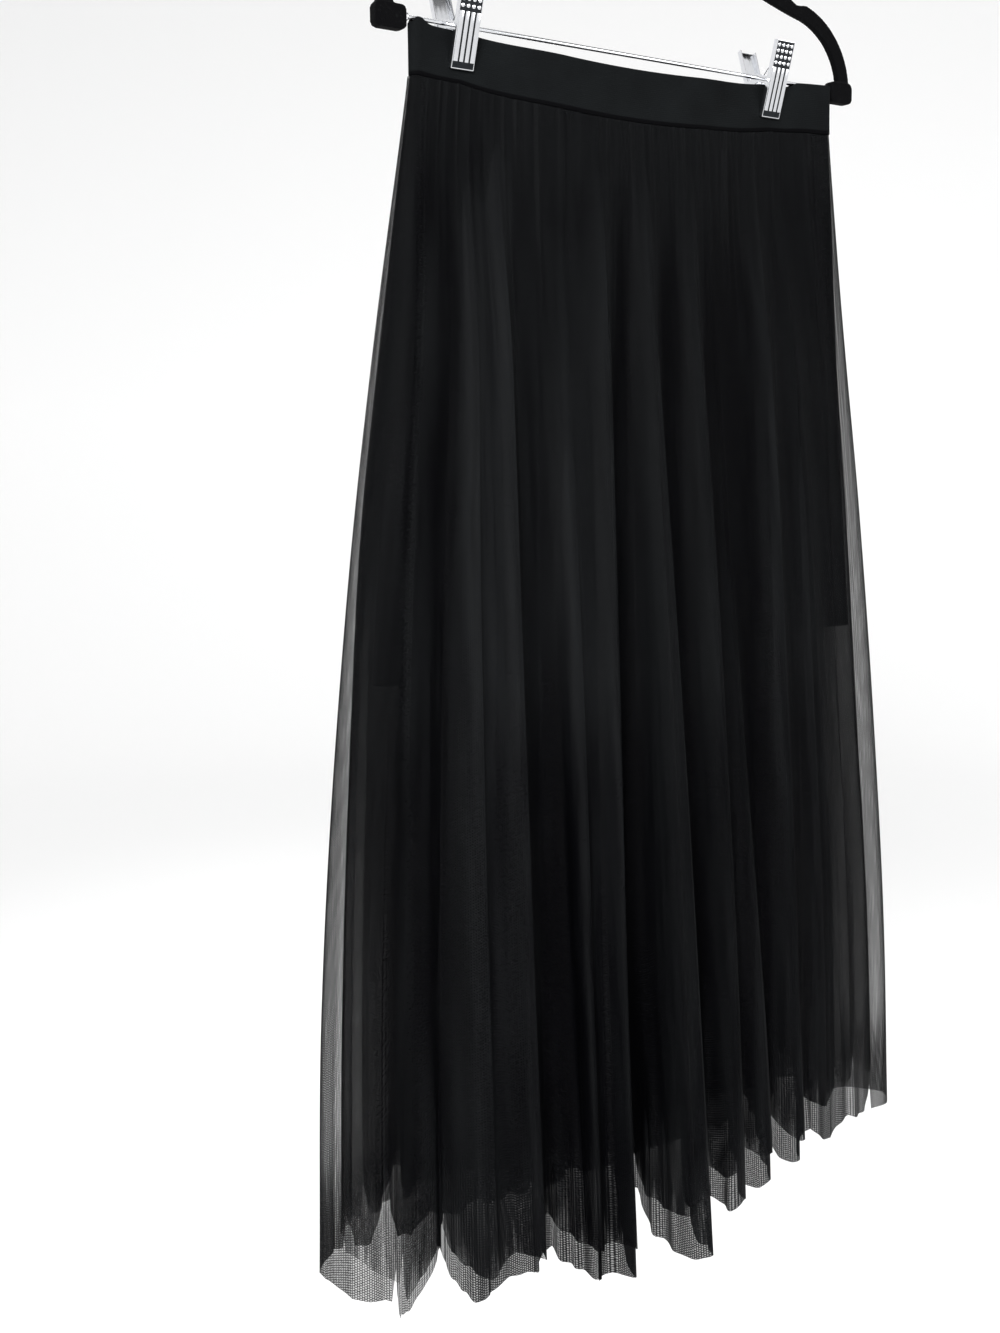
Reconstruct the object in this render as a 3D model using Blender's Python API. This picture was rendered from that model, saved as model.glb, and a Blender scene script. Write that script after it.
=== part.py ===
"""A long tulle skirt with an elastic waistband and a short slip, clipped to a flocked hanger.

Metres, +Z up. The origin is where the hook's inner top sits on a rail. The front of the skirt
faces -Y and +X is the viewer's right. Every piece is one closed solid in its own object.
"""

import math

import bmesh
import bpy
from mathutils import Vector

GAP = 0.0003  # clearance between neighbouring pieces

# Hanger
ROD_Z = -0.228  # rod axis below the rail
ROD_RADIUS = 0.0016
ROD_HALF = 0.2080
ARM_THICK = 0.0046
ARM_HALF_WIDTH = 0.0056
SHOULDER_X = 0.168  # where the straight arm turns into the drop
SHOULDER_RISE = 0.0565  # above the rod; also the radius of the drop
SHOULDER_SLOPE = 0.215
NECK_RISE = 0.126
NOTCH_X, NOTCH_DEPTH, NOTCH_HALF = 0.158, 0.0030, 0.0090
KNOB_X, KNOB_WIDE, KNOB_TALL, KNOB_THICK = 0.2135, 0.0245, 0.0165, 0.0080
KNOB_BELOW = 0.0010  # the knob's middle hangs this far below the rod's axis
ARM_FOOT_X = 0.2175
BOSS_WIDE, BOSS_TALL, BOSS_THICK = 0.0250, 0.0300, 0.0090
HOOK_WIRE = 0.0017  # radius
HOOK_RADIUS = 0.0210  # inner radius over the rail
HOOK_SHANK_DEPTH = 0.0150
HOOK_SWAN_RADIUS = 0.0300  # of the two bends between the shank and the hook
HOOK_END_DEG = 205.0

# Clips
CLIP_X = {"left": -0.159, "right": 0.132}
CLIP_WIDE = 0.0185
CLIP_ABOVE, CLIP_BELOW = 0.0242, 0.0305  # of the rod
SHEET = 0.0008
CLIP_JAW_OUT, CLIP_GRIP_OUT = 0.0062, 0.0234  # outer face from the middle plane
CLIP_WALL_DEEP = 0.0040
EAR_RADIUS = 0.0028
PAD_TALL = 0.0080
SPRING_RADIUS, SPRING_HALF = 0.0032, 0.0070

# Cloth
BAND_THICK = 0.0030
TULLE_THICK = 0.0010
SLIP_THICK = 0.0010
WAIST_HALF = 0.1980  # outer face of the waistband to the middle
WAIST_OPEN = 0.0120  # half depth of the open waist between the clips
WAIST_PINCH = BAND_THICK / 2 + GAP  # half depth, wall middle, under a clip
PINCH_FLAT, PINCH_FALL = 0.0140, 0.0700
PINCH_FADE = 0.190  # how far below the band the pinch still shows
BAND_TALL = 0.0350
BAND_TOP = ROD_Z - 0.0043  # level of the top edge under the clips
BAND_SAG, SEAM_SAG = 0.0085, 0.0030
BAND_END_RISE = 0.0014

# Skirt sections, one row per level below the band's lower edge. Half widths, end radii and half
# depths are of the wall's middle; the depth is that of the valleys between the folds.
SECTION_COLUMNS = ("drop", "half_width", "end_radius", "half_depth")
OUTER_SECTIONS = (
    (0.0003, 0.1984, 0.0055, 0.0136),
    (0.050, 0.2050, 0.0095, 0.0180),
    (0.150, 0.2185, 0.0160, 0.0240),
    (0.300, 0.2405, 0.0230, 0.0310),
    (0.480, 0.2620, 0.0300, 0.0370),
    (0.660, 0.2780, 0.0340, 0.0410),
    (0.838, 0.2860, 0.0360, 0.0430),
)
HEM_DROP = OUTER_SECTIONS[-1][0]
INNER_SECTIONS = (
    (0.0003, 0.1970, 0.0041, 0.0122),
    (0.050, 0.2030, 0.0075, 0.0158),
    (0.150, 0.2142, 0.0125, 0.0205),
    (0.300, 0.2335, 0.0190, 0.0262),
    (0.480, 0.2510, 0.0235, 0.0312),
    (0.660, 0.2620, 0.0265, 0.0345),
    (0.800, 0.2670, 0.0280, 0.0360),
)
SLIP_SECTIONS = (
    (0.0003, 0.1956, 0.0028, 0.0083),
    (0.050, 0.2010, 0.0060, 0.0096),
    (0.150, 0.2110, 0.0090, 0.0108),
    (0.280, 0.2230, 0.0105, 0.0118),
    (0.400, 0.2350, 0.0120, 0.0126),
)
# How far the cloth hangs towards +X at a drop, the same for every layer.
SHIFT_COLUMNS = ("drop", "shift")
SHIFTS = (
    (0.000, 0.000),
    (0.100, -0.003),
    (0.300, -0.004),
    (0.480, -0.003),
    (0.838, 0.002),
)
SLIP_TILT = 0.035  # the slip is longer at its -X end by this share

# Folds from -X to +X, a ridge, then the valley after it, and so on. waist_x and hem_x are its
# places along X at the waistband and at the hem, hem_out how far it stands from the middle
# plane at the hem, and starts the share of the way down where it begins.
FOLD_COLUMNS = ("waist_x", "hem_x", "hem_out", "starts")
FRONT_FOLDS = (
    (-0.183, -0.246, 0.080, 0.12),
    (-0.167, -0.214, 0.034, 0.12),
    (-0.152, -0.184, 0.092, 0.06),
    (-0.141, -0.166, 0.082, 0.06),
    (-0.129, -0.148, 0.094, 0.02),
    (-0.108, -0.120, 0.048, 0.02),
    (-0.078, -0.095, 0.098, 0.10),
    (-0.062, -0.084, 0.090, 0.08),
    (-0.044, -0.074, 0.110, 0.04),
    (-0.024, -0.040, 0.036, 0.04),
    (-0.005, -0.010, 0.100, 0.04),
    (0.018, 0.028, 0.034, 0.04),
    (0.040, 0.054, 0.078, 0.04),
    (0.050, 0.074, 0.046, 0.40),
    (0.060, 0.094, 0.066, 0.40),
    (0.088, 0.114, 0.022, 0.04),
    (0.118, 0.140, 0.056, 0.03),
    (0.130, 0.164, 0.029, 0.08),
    (0.144, 0.190, 0.044, 0.08),
    (0.158, 0.214, 0.030, 0.08),
    (0.172, 0.240, 0.034, 0.08),
)
BACK_FOLDS = (
    (-0.180, -0.238, 0.058, 0.08),
    (-0.166, -0.216, 0.036, 0.08),
    (-0.150, -0.196, 0.078, 0.04),
    (-0.134, -0.174, 0.046, 0.04),
    (-0.116, -0.150, 0.092, 0.02),
    (-0.100, -0.128, 0.050, 0.06),
    (-0.082, -0.108, 0.074, 0.10),
    (-0.064, -0.084, 0.040, 0.06),
    (-0.046, -0.060, 0.098, 0.02),
    (-0.030, -0.038, 0.060, 0.06),
    (-0.013, -0.016, 0.084, 0.08),
    (0.006, 0.008, 0.042, 0.04),
    (0.024, 0.032, 0.100, 0.04),
    (0.042, 0.056, 0.050, 0.06),
    (0.061, 0.080, 0.080, 0.06),
    (0.078, 0.104, 0.042, 0.06),
    (0.095, 0.128, 0.088, 0.02),
    (0.112, 0.152, 0.040, 0.04),
    (0.130, 0.176, 0.064, 0.08),
    (0.147, 0.200, 0.032, 0.06),
    (0.166, 0.224, 0.046, 0.04),
)
FOLD_GROWTH = 1.15  # power by which a fold deepens from waist to hem
CROWN = 0.25  # how much shallower the skirt is at its sides
RIGHT_FLATTER = 0.35  # the front's +X half lies this much closer to the middle at the hem
INNER_FOLD_SHARE = 0.86  # inner folds are this share of the outer ones, nested in them
INNER_EASE = 0.155  # beyond this far from the middle the inner layer leaves the outer's folds
RAMP = ((0.32, 0.22), (0.68, 0.78))  # share of the way and of the height between two knots
CAP_DEGREES = (90.0, 60.0, 30.0)

MATERIALS = {
    "tulle": ((0.010, 0.010, 0.011), 0.62, 0.0),
    "slip_jersey": ((0.012, 0.013, 0.014), 0.70, 0.0),
    "elastic": ((0.012, 0.014, 0.015), 0.75, 0.0),
    "flock": ((0.006, 0.006, 0.007), 0.95, 0.0),
    "chrome": ((0.80, 0.81, 0.83), 0.12, 1.0),
    "pvc": ((0.015, 0.016, 0.017), 0.45, 0.0),
}


def clear_scene():
    for obj in list(bpy.data.objects):
        bpy.data.objects.remove(obj)


def material(name):
    found = bpy.data.materials.get(name)
    if found:
        return found
    colour, roughness, metallic = MATERIALS[name]
    made = bpy.data.materials.new(name)
    made.use_nodes = True
    shader = made.node_tree.nodes["Principled BSDF"]
    shader.inputs["Base Color"].default_value = (*colour, 1.0)
    shader.inputs["Roughness"].default_value = roughness
    shader.inputs["Metallic"].default_value = metallic
    return made


def add_object(name, bm, material_name):
    mesh = bpy.data.meshes.new(name)
    bm.to_mesh(mesh)
    bm.free()
    mesh.materials.append(material(material_name))
    obj = bpy.data.objects.new(name, mesh)
    bpy.context.scene.collection.objects.link(obj)
    return obj


def smooth_step(low, high, value):
    t = min(1.0, max(0.0, (value - low) / (high - low)))
    return t * t * (3 - 2 * t)


def mix(a, b, t):
    return a + (b - a) * t


# ---------------------------------------------------------------- cloth

def clip_grip(x):
    """1 where a clip holds the cloth together, falling to 0 away from it."""
    reach = min(abs(x - place) for place in CLIP_X.values())
    return 1.0 - smooth_step(PINCH_FLAT, PINCH_FLAT + PINCH_FALL, reach)


def band_sag(x):
    """How far the band's top hangs below its level at the clips; negative beyond them."""
    left, right = CLIP_X["left"], CLIP_X["right"]
    middle, half = (left + right) / 2, (right - left) / 2
    share = (x - middle) / half
    if abs(share) <= 1:
        return BAND_SAG * (1 - share * share)
    beyond = (abs(share) - 1) * half
    return -BAND_END_RISE * smooth_step(0.0, 0.045, beyond)


def band_bottom(x):
    return BAND_TOP - BAND_TALL - band_sag(x) - SEAM_SAG * max(0.0, 1 - (x / CLIP_X["left"]) ** 2)


def interpolate(table, drop):
    """The table's values at a drop, between its rows."""
    for upper, lower in zip(table, table[1:]):
        if drop <= lower[0]:
            t = max(0.0, (drop - upper[0]) / (lower[0] - upper[0]))
            return [mix(a, b, t) for a, b in zip(upper[1:], lower[1:])]
    return list(table[-1][1:])


def half_depth(x, open_depth, pinched_depth, drop):
    grip = clip_grip(x) * (1 - smooth_step(0.0, PINCH_FADE, drop))
    return mix(open_depth, pinched_depth, grip)


def base_depth(x, drop, open_depth, half_width, pinched, side):
    """Half depth of a tulle layer without its folds."""
    share = drop / HEM_DROP
    flatter = RIGHT_FLATTER * smooth_step(0.0, 0.115, x) * share if side < 0 else 0.0
    crown = 1 - CROWN * (x / half_width) ** 2
    return half_depth(x, open_depth * crown, pinched, drop) * (1 - flatter)


def fold_columns(folds, drop, side):
    """(x, height) of each valley and ridge, with two points on each ramp to round it."""
    share = drop / HEM_DROP
    half_width, end_radius, _ = interpolate(OUTER_SECTIONS, drop)
    hem_width, hem_radius, hem_depth = OUTER_SECTIONS[-1][1:]
    waist_width, waist_radius, _ = OUTER_SECTIONS[0][1:]
    flat = half_width - end_radius
    waist_flat = waist_width - waist_radius
    flare = (flat - waist_flat) / (hem_width - hem_radius - waist_flat)
    knots = [(-flat, 0.0)]
    for waist_x, hem_x, hem_out, starts in folds:
        grown = max(0.0, (share - starts) / (1 - starts)) ** FOLD_GROWTH
        height = hem_out - base_depth(hem_x, HEM_DROP, hem_depth, hem_width, 0.0, side)
        knots.append((mix(waist_x, hem_x, flare), height * grown))
    knots.append((flat, 0.0))
    columns = [knots[0]]
    for (x, height), (next_x, next_height) in zip(knots, knots[1:]):
        columns += [(mix(x, next_x, along), mix(height, next_height, up)) for along, up in RAMP]
        columns.append((next_x, next_height))
    return columns


def tulle_row(folds, sections, drop, fold_share, pinched, side, ease=1.0):
    """One level of a tulle panel, from -X to +X. side is -1 for the front, 1 for the back."""
    half_width, end_radius, open_depth = interpolate(sections, drop)
    outer_width, outer_radius, _ = interpolate(OUTER_SECTIONS, drop)
    outer_flat = outer_width - outer_radius
    flat = half_width - end_radius

    def cap(sign, degrees):
        angle = math.radians(degrees)
        depth = base_depth(sign * flat, drop, open_depth, half_width, pinched, side)
        return sign * (flat + end_radius * math.sin(angle)), depth * math.cos(angle) + GAP

    plan = [cap(-1, degrees) for degrees in CAP_DEGREES]
    for outer_x, height in fold_columns(folds, drop, side):
        eased = max(0.0, (abs(outer_x) - ease) / (outer_flat - ease)) if ease < 1 else 0.0
        x = outer_x - math.copysign((outer_flat - flat) * eased, outer_x)
        base = base_depth(x, drop, open_depth, half_width, pinched, side)
        nested = height * fold_share * (1 - eased) if height > 0 else height
        plan.append((x, base + GAP + nested))
    plan += [cap(1, degrees) for degrees in reversed(CAP_DEGREES)]
    shift = interpolate(SHIFTS, drop)[0]
    return [Vector((x + shift, side * y, band_bottom(x) - drop)) for x, y in plan]


def waist_columns(flat):
    """Places along X from -flat to flat, close together where the clips pinch the cloth."""
    steps = (0.0, 0.0140, 0.0240, 0.0360, 0.0520)
    places = {-flat, flat}
    for centre in CLIP_X.values():
        for step in steps:
            places.update((centre - step, centre + step))
    places.update((-0.078, -0.050, -0.0135, 0.023, 0.052))
    return sorted(x for x in places if abs(x) <= flat)


def slip_row(drop, pinched, side):
    """One level of the slip: flat across, with round ends and no folds."""
    half_width, end_radius, open_depth = interpolate(SLIP_SECTIONS, drop)
    top_width, top_radius, _ = SLIP_SECTIONS[0][1:]
    flat = half_width - end_radius
    spread = flat / (top_width - top_radius)

    def cap(sign, degrees):
        angle = math.radians(degrees)
        depth = half_depth(sign * flat, open_depth, pinched, drop)
        return sign * (flat + end_radius * math.sin(angle)), depth * math.cos(angle) + GAP

    plan = [cap(-1, degrees) for degrees in CAP_DEGREES]
    for place in waist_columns(top_width - top_radius):
        x = place * spread
        plan.append((x, half_depth(x, open_depth, pinched, drop) + GAP))
    plan += [cap(1, degrees) for degrees in reversed(CAP_DEGREES)]
    shift = interpolate(SHIFTS, drop)[0]
    points = []
    for x, y in plan:
        longer = SLIP_TILT * max(0.0, -x / half_width) * drop
        points.append(Vector((x + shift, side * y, band_bottom(x) - drop - longer)))
    return points


def sheet_object(name, rows, thickness, material_name, closed=False):
    """A sheet through the rows of points, given its thickness about the middle by Solidify."""
    bm = bmesh.new()
    grid = [[bm.verts.new(point) for point in row] for row in rows]
    for upper, lower in zip(grid, grid[1:]):
        count = len(upper)
        for i in range(count if closed else count - 1):
            j = (i + 1) % count
            bm.faces.new((upper[i], lower[i], lower[j], upper[j]))
    bm.normal_update()
    obj = add_object(name, bm, material_name)
    wall = obj.modifiers.new("wall", "SOLIDIFY")
    wall.thickness = thickness
    wall.offset = 0.0
    obj.data.shade_smooth()
    return obj


def make_waistband():
    """An elastic strip sewn into a ring, held flat by the clips and sagging between them."""
    end_radius = 0.0048
    flat = WAIST_HALF - BAND_THICK / 2 - end_radius
    front = [(x, -half_depth(x, WAIST_OPEN, WAIST_PINCH, 0.0)) for x in waist_columns(flat)]
    right_end, left_end = front[-1][1], front[0][1]
    angles = (30.0, 60.0, 90.0, 120.0, 150.0)
    right = [
        (flat + end_radius * math.sin(math.radians(a)), right_end * math.cos(math.radians(a)))
        for a in angles
    ]
    left = [
        (-flat - end_radius * math.sin(math.radians(a)), -left_end * math.cos(math.radians(a)))
        for a in angles
    ]
    back = [(x, -y) for x, y in reversed(front)]
    plan = front + right + back + left
    top = [Vector((x, y, BAND_TOP - band_sag(x))) for x, y in plan]
    bottom = [Vector((x, y, band_bottom(x))) for x, y in plan]
    return sheet_object("waistband", [top, bottom], BAND_THICK, "elastic", closed=True)


def make_tulle():
    """Two gathered layers, each a front and a back; the inner one is shorter and nests in the outer."""
    pinch_outer = WAIST_PINCH + 0.0018
    pinch_inner = WAIST_PINCH + 0.0005
    layers = (
        ("outer_tulle", OUTER_SECTIONS, 1.0, pinch_outer, 1.0),
        ("inner_tulle", INNER_SECTIONS, INNER_FOLD_SHARE, pinch_inner, INNER_EASE),
    )
    for name, sections, fold_share, pinched, ease in layers:
        for face, side, folds in (("front", -1, FRONT_FOLDS), ("back", 1, BACK_FOLDS)):
            rows = [
                tulle_row(folds, sections, row[0], fold_share, pinched, side, ease)
                for row in sections
            ]
            if side > 0:
                rows = [list(reversed(row)) for row in rows]
            sheet_object(f"{name}_{face}", rows, TULLE_THICK, "tulle")


def make_slip():
    """The short opaque slip under the tulle, a front and a back."""
    pinched = WAIST_PINCH - 0.0012
    for face, side in (("front", -1), ("back", 1)):
        rows = [slip_row(row[0], pinched, side) for row in SLIP_SECTIONS]
        if side > 0:
            rows = [list(reversed(row)) for row in rows]
        sheet_object(f"slip_{face}", rows, SLIP_THICK, "slip_jersey")


# ---------------------------------------------------------------- hanger

def arm_centre():
    """The arm's middle line in X and Z, from the neck out and down to the knob."""
    line = []
    bend = (NECK_RISE - SHOULDER_RISE - SHOULDER_SLOPE * SHOULDER_X) / SHOULDER_X**2
    for i in range(21):
        x = SHOULDER_X * i / 20
        run = SHOULDER_X - x
        line.append(Vector((x, ROD_Z + SHOULDER_RISE + SHOULDER_SLOPE * run + bend * run * run)))
    reach = ARM_FOOT_X - SHOULDER_X
    start = math.atan(SHOULDER_SLOPE)
    for i in range(1, 15):
        angle = start + (math.pi / 2 - start) * i / 14
        across = (math.sin(angle) - math.sin(start)) / (1 - math.sin(start))
        down = math.cos(angle) / math.cos(start)
        line.append(Vector((SHOULDER_X + reach * across, ROD_Z + SHOULDER_RISE * down)))
    return line


def arm_outline():
    """The closed outline of both arms in X and Z."""
    centre = arm_centre()
    upper, lower = [], []
    for i, point in enumerate(centre):
        ahead = centre[min(i + 1, len(centre) - 1)] - centre[max(i - 1, 0)]
        normal = Vector((-ahead.y, ahead.x)).normalized()
        if i == 0:
            normal = Vector((0.0, 1.0))
        notch = NOTCH_DEPTH * max(0.0, 1 - ((point.x - NOTCH_X) / NOTCH_HALF) ** 2)
        upper.append(point + normal * (ARM_HALF_WIDTH - notch))
        lower.append(point - normal * ARM_HALF_WIDTH)
    mirrored = [Vector((-p.x, p.y)) for p in upper[:0:-1]]
    mirrored_lower = [Vector((-p.x, p.y)) for p in lower[1:]]
    return mirrored + upper + lower[::-1] + mirrored_lower


def extrude_outline(outline, thickness):
    bm = bmesh.new()
    near = [bm.verts.new((p.x, -thickness / 2, p.y)) for p in outline]
    face = bm.faces.new(near)
    moved = bmesh.ops.extrude_face_region(bm, geom=[face])["geom"]
    verts = [g for g in moved if isinstance(g, bmesh.types.BMVert)]
    bmesh.ops.translate(bm, verts=verts, vec=(0, thickness, 0))
    bmesh.ops.recalc_face_normals(bm, faces=bm.faces)
    return bm


def block(name, size, centre, material_name, rounding=0.0):
    bm = bmesh.new()
    bmesh.ops.create_cube(bm, size=1.0)
    bmesh.ops.scale(bm, verts=bm.verts, vec=size)
    bmesh.ops.translate(bm, verts=bm.verts, vec=centre)
    if rounding:
        upright = [e for e in bm.edges if abs(e.verts[0].co.y - e.verts[1].co.y) > size[1] / 2]
        bmesh.ops.bevel(bm, geom=upright, offset=rounding, segments=4, affect="EDGES", profile=0.5)
    return add_object(name, bm, material_name)


def cylinder(name, radius, half_length, centre, axis, sides=16):
    bm = bmesh.new()
    bmesh.ops.create_cone(
        bm, cap_ends=True, segments=sides, radius1=radius, radius2=radius, depth=2 * half_length
    )
    obj = add_object(name, bm, "chrome")
    obj.rotation_mode = "QUATERNION"
    obj.rotation_quaternion = Vector((0, 0, 1)).rotation_difference(Vector(axis))
    obj.location = centre
    return obj


def as_cutter(obj):
    obj.hide_render = True
    obj.display_type = "WIRE"
    return obj


def boolean(obj, other, operation):
    cut = obj.modifiers.new(other.name, "BOOLEAN")
    cut.operation = operation
    cut.object = as_cutter(other)


def make_hanger_body():
    """One flat moulding: two arms, a neck boss and an end knob on each side, flocked all over."""
    body = add_object("hanger_body", extrude_outline(arm_outline(), ARM_THICK), "flock")
    boss_z = ROD_Z + NECK_RISE + 0.002
    boss = block(
        "neck_boss_add", (BOSS_WIDE, BOSS_THICK, BOSS_TALL), (0, 0, boss_z), "flock", 0.007
    )
    boolean(body, boss, "UNION")
    for sign, word in ((-1, "left"), (1, "right")):
        knob = block(
            f"knob_{word}_add",
            (KNOB_WIDE, KNOB_THICK, KNOB_TALL),
            (sign * KNOB_X, 0, ROD_Z - KNOB_BELOW),
            "flock",
            0.0060,
        )
        boolean(body, knob, "UNION")
    socket = cylinder(
        "rod_socket_cut", ROD_RADIUS + GAP, ROD_HALF + GAP, (0, 0, ROD_Z), (1, 0, 0)
    )
    boolean(body, socket, "DIFFERENCE")
    shank_top = boss_z + BOSS_TALL / 2
    shank = cylinder(
        "hook_socket_cut",
        HOOK_WIRE + GAP,
        HOOK_SHANK_DEPTH / 2 + 0.002,
        (0, 0, shank_top - HOOK_SHANK_DEPTH / 2 + 0.002),
        (0, 0, 1),
    )
    boolean(body, shank, "DIFFERENCE")
    edge = body.modifiers.new("soft_edge", "BEVEL")
    edge.width = 0.0008
    edge.segments = 1
    edge.limit_method = "ANGLE"
    edge.angle_limit = math.radians(50)
    return shank_top


def hook_path(shank_top):
    """The wire's middle line: straight up from the neck, out to one side, then over the rail."""
    radius = HOOK_RADIUS + HOOK_WIRE
    centre_z = -HOOK_RADIUS
    foot = shank_top - HOOK_SHANK_DEPTH + GAP
    swan = math.acos(1 - radius / (2 * HOOK_SWAN_RADIUS))
    swan_start = centre_z - 2 * HOOK_SWAN_RADIUS * math.sin(swan)
    points = [Vector((0, 0, foot))]
    steps = 7
    for i in range(steps + 1):
        angle = swan * i / steps
        across = HOOK_SWAN_RADIUS * (1 - math.cos(angle))
        points.append(Vector((across, 0, swan_start + HOOK_SWAN_RADIUS * math.sin(angle))))
    for i in range(steps - 1, 0, -1):
        angle = swan * i / steps
        across = HOOK_SWAN_RADIUS * (1 - math.cos(angle))
        points.append(Vector((radius - across, 0, centre_z - HOOK_SWAN_RADIUS * math.sin(angle))))
    turns = 24
    for i in range(turns + 1):
        angle = math.radians(HOOK_END_DEG * i / turns)
        points.append(
            Vector((radius * math.cos(angle), 0, centre_z + radius * math.sin(angle)))
        )
    return points


def make_hook(shank_top):
    """Round wire bent to a hook; it turns in the neck on a plain shank."""
    points = hook_path(shank_top)
    curve = bpy.data.curves.new("hanger_hook", "CURVE")
    curve.dimensions = "3D"
    spline = curve.splines.new("POLY")
    spline.points.add(len(points) - 1)
    for target, point in zip(spline.points, points):
        target.co = (*point, 1.0)
    curve.bevel_depth = HOOK_WIRE
    curve.bevel_resolution = 3
    curve.use_fill_caps = True
    curve.materials.append(material("chrome"))
    hook = bpy.data.objects.new("hanger_hook", curve)
    bpy.context.scene.collection.objects.link(hook)


def make_rod():
    rod = cylinder("hanger_rod", ROD_RADIUS, ROD_HALF, (0, 0, ROD_Z), (1, 0, 0))
    rod.data.shade_smooth()
    rod.data.set_sharp_from_angle(angle=math.radians(40))


# ---------------------------------------------------------------- clips

def lever_line():
    """The lever's outer face in Y and Z, jaw end first, for the front (-Y) lever."""
    jaw = Vector((-CLIP_JAW_OUT, ROD_Z - CLIP_BELOW))
    grip = Vector((-CLIP_GRIP_OUT, ROD_Z + CLIP_ABOVE))
    return jaw, grip


def prism(profile, x_low, x_high):
    """A profile in Y and Z, extruded along X."""
    bm = bmesh.new()
    near = [bm.verts.new((x_low, p[0], p[1])) for p in profile]
    face = bm.faces.new(near)
    moved = bmesh.ops.extrude_face_region(bm, geom=[face])["geom"]
    verts = [g for g in moved if isinstance(g, bmesh.types.BMVert)]
    bmesh.ops.translate(bm, verts=verts, vec=(x_high - x_low, 0, 0))
    bmesh.ops.recalc_face_normals(bm, faces=bm.faces)
    return bm


def lever_profiles():
    """The front lever's outline from the side, and the outline of the hollow inside its channel."""
    jaw, grip = lever_line()
    along = (grip - jaw).normalized()
    inward = Vector((abs(along.y), abs(along.x)))  # towards the middle plane
    cloth = -(BAND_THICK + 2 * GAP)  # where the jaw meets the waistband's face
    wall_line = jaw + inward * CLIP_WALL_DEEP
    leave = (cloth - wall_line.x) / along.x  # where the wall's inner edge clears the cloth
    rod = Vector((0.0, ROD_Z))
    foot = (rod - wall_line).dot(along)
    below = wall_line + along * (foot - EAR_RADIUS)
    above = wall_line + along * (foot + EAR_RADIUS)
    ear = [
        rod + (along * math.cos(a) + inward * math.sin(a)) * EAR_RADIUS
        for a in (math.pi * k / 6 for k in range(7))
    ]
    deep_top = grip + inward * CLIP_WALL_DEEP
    clear = wall_line + along * leave
    outline = [jaw, grip, deep_top, above, *ear, below, clear, Vector((cloth, jaw.y))]
    low = jaw + inward * SHEET - along * 0.01
    high = grip + inward * SHEET + along * 0.01
    hollow = [low, high, high + inward * 0.04, low + inward * 0.04]
    return outline, hollow


def mirrored(profile, side):
    return [Vector((side * -p.x, p.y)) for p in profile] if side > 0 else profile


def make_clip(word, centre_x):
    """Two pressed steel channels that turn on the rod, a spring between them and a soft pad each."""
    outline, hollow = lever_profiles()
    widths = {"front": CLIP_WIDE / 2, "back": CLIP_WIDE / 2 - SHEET - GAP}
    for name, side in (("front", -1), ("back", 1)):
        half = widths[name]
        inside = half - SHEET
        lever = add_object(
            f"clip_{word}_{name}",
            prism(mirrored(outline, side), centre_x - half, centre_x + half),
            "chrome",
        )
        channel = add_object(
            f"clip_{word}_{name}_channel_cut",
            prism(mirrored(hollow, side), centre_x - inside, centre_x + inside),
            "chrome",
        )
        boolean(lever, channel, "DIFFERENCE")
        bore = cylinder(
            f"clip_{word}_{name}_bore_cut",
            ROD_RADIUS + GAP,
            CLIP_WIDE,
            (centre_x, 0, ROD_Z),
            (1, 0, 0),
        )
        boolean(lever, bore, "DIFFERENCE")
        make_pad(f"clip_{word}_{name}_pad", side, centre_x, half)
    make_spring(f"clip_{word}_spring", centre_x)


def make_pad(name, side, centre_x, half):
    """The soft tip inside the jaw that bears on the waistband."""
    jaw, grip = lever_line()
    along = (grip - jaw).normalized()
    inward = Vector((abs(along.y), abs(along.x)))
    back = jaw + inward * (SHEET + GAP)
    cloth = -(BAND_THICK + 2 * GAP)
    profile = [
        back,
        back + along * PAD_TALL,
        Vector((cloth, (back + along * PAD_TALL).y)),
        Vector((cloth, back.y)),
    ]
    reach = half - SHEET - GAP
    add_object(name, prism(mirrored(profile, side), centre_x - reach, centre_x + reach), "pvc")


def make_spring(name, centre_x):
    """The outer shape of the torsion spring round the rod."""
    profile = (
        (ROD_RADIUS + GAP, -SPRING_HALF),
        (SPRING_RADIUS, -SPRING_HALF),
        (SPRING_RADIUS, SPRING_HALF),
        (ROD_RADIUS + GAP, SPRING_HALF),
    )
    sides = 16
    bm = bmesh.new()
    rings = []
    for i in range(sides):
        angle = 2 * math.pi * i / sides
        rings.append(
            [
                bm.verts.new(
                    (centre_x + x, r * math.cos(angle), ROD_Z + r * math.sin(angle))
                )
                for r, x in profile
            ]
        )
    for i, ring in enumerate(rings):
        following = rings[(i + 1) % sides]
        for j in range(4):
            k = (j + 1) % 4
            bm.faces.new((ring[j], following[j], following[k], ring[k]))
    bmesh.ops.recalc_face_normals(bm, faces=bm.faces)
    add_object(name, bm, "chrome")


def main():
    clear_scene()
    make_waistband()
    make_tulle()
    make_slip()
    shank_top = make_hanger_body()
    make_hook(shank_top)
    make_rod()
    for word, centre_x in CLIP_X.items():
        make_clip(word, centre_x)


main()
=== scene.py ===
# A long tulle skirt with an elastic waistband and a short slip, clipped to a flocked hanger.
# Metres, +Z up, the skirt's front towards -Y, the origin where the hook sits on its rail.
import math

import bmesh
import bpy
import numpy as np
from mathutils import Matrix, Vector


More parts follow.
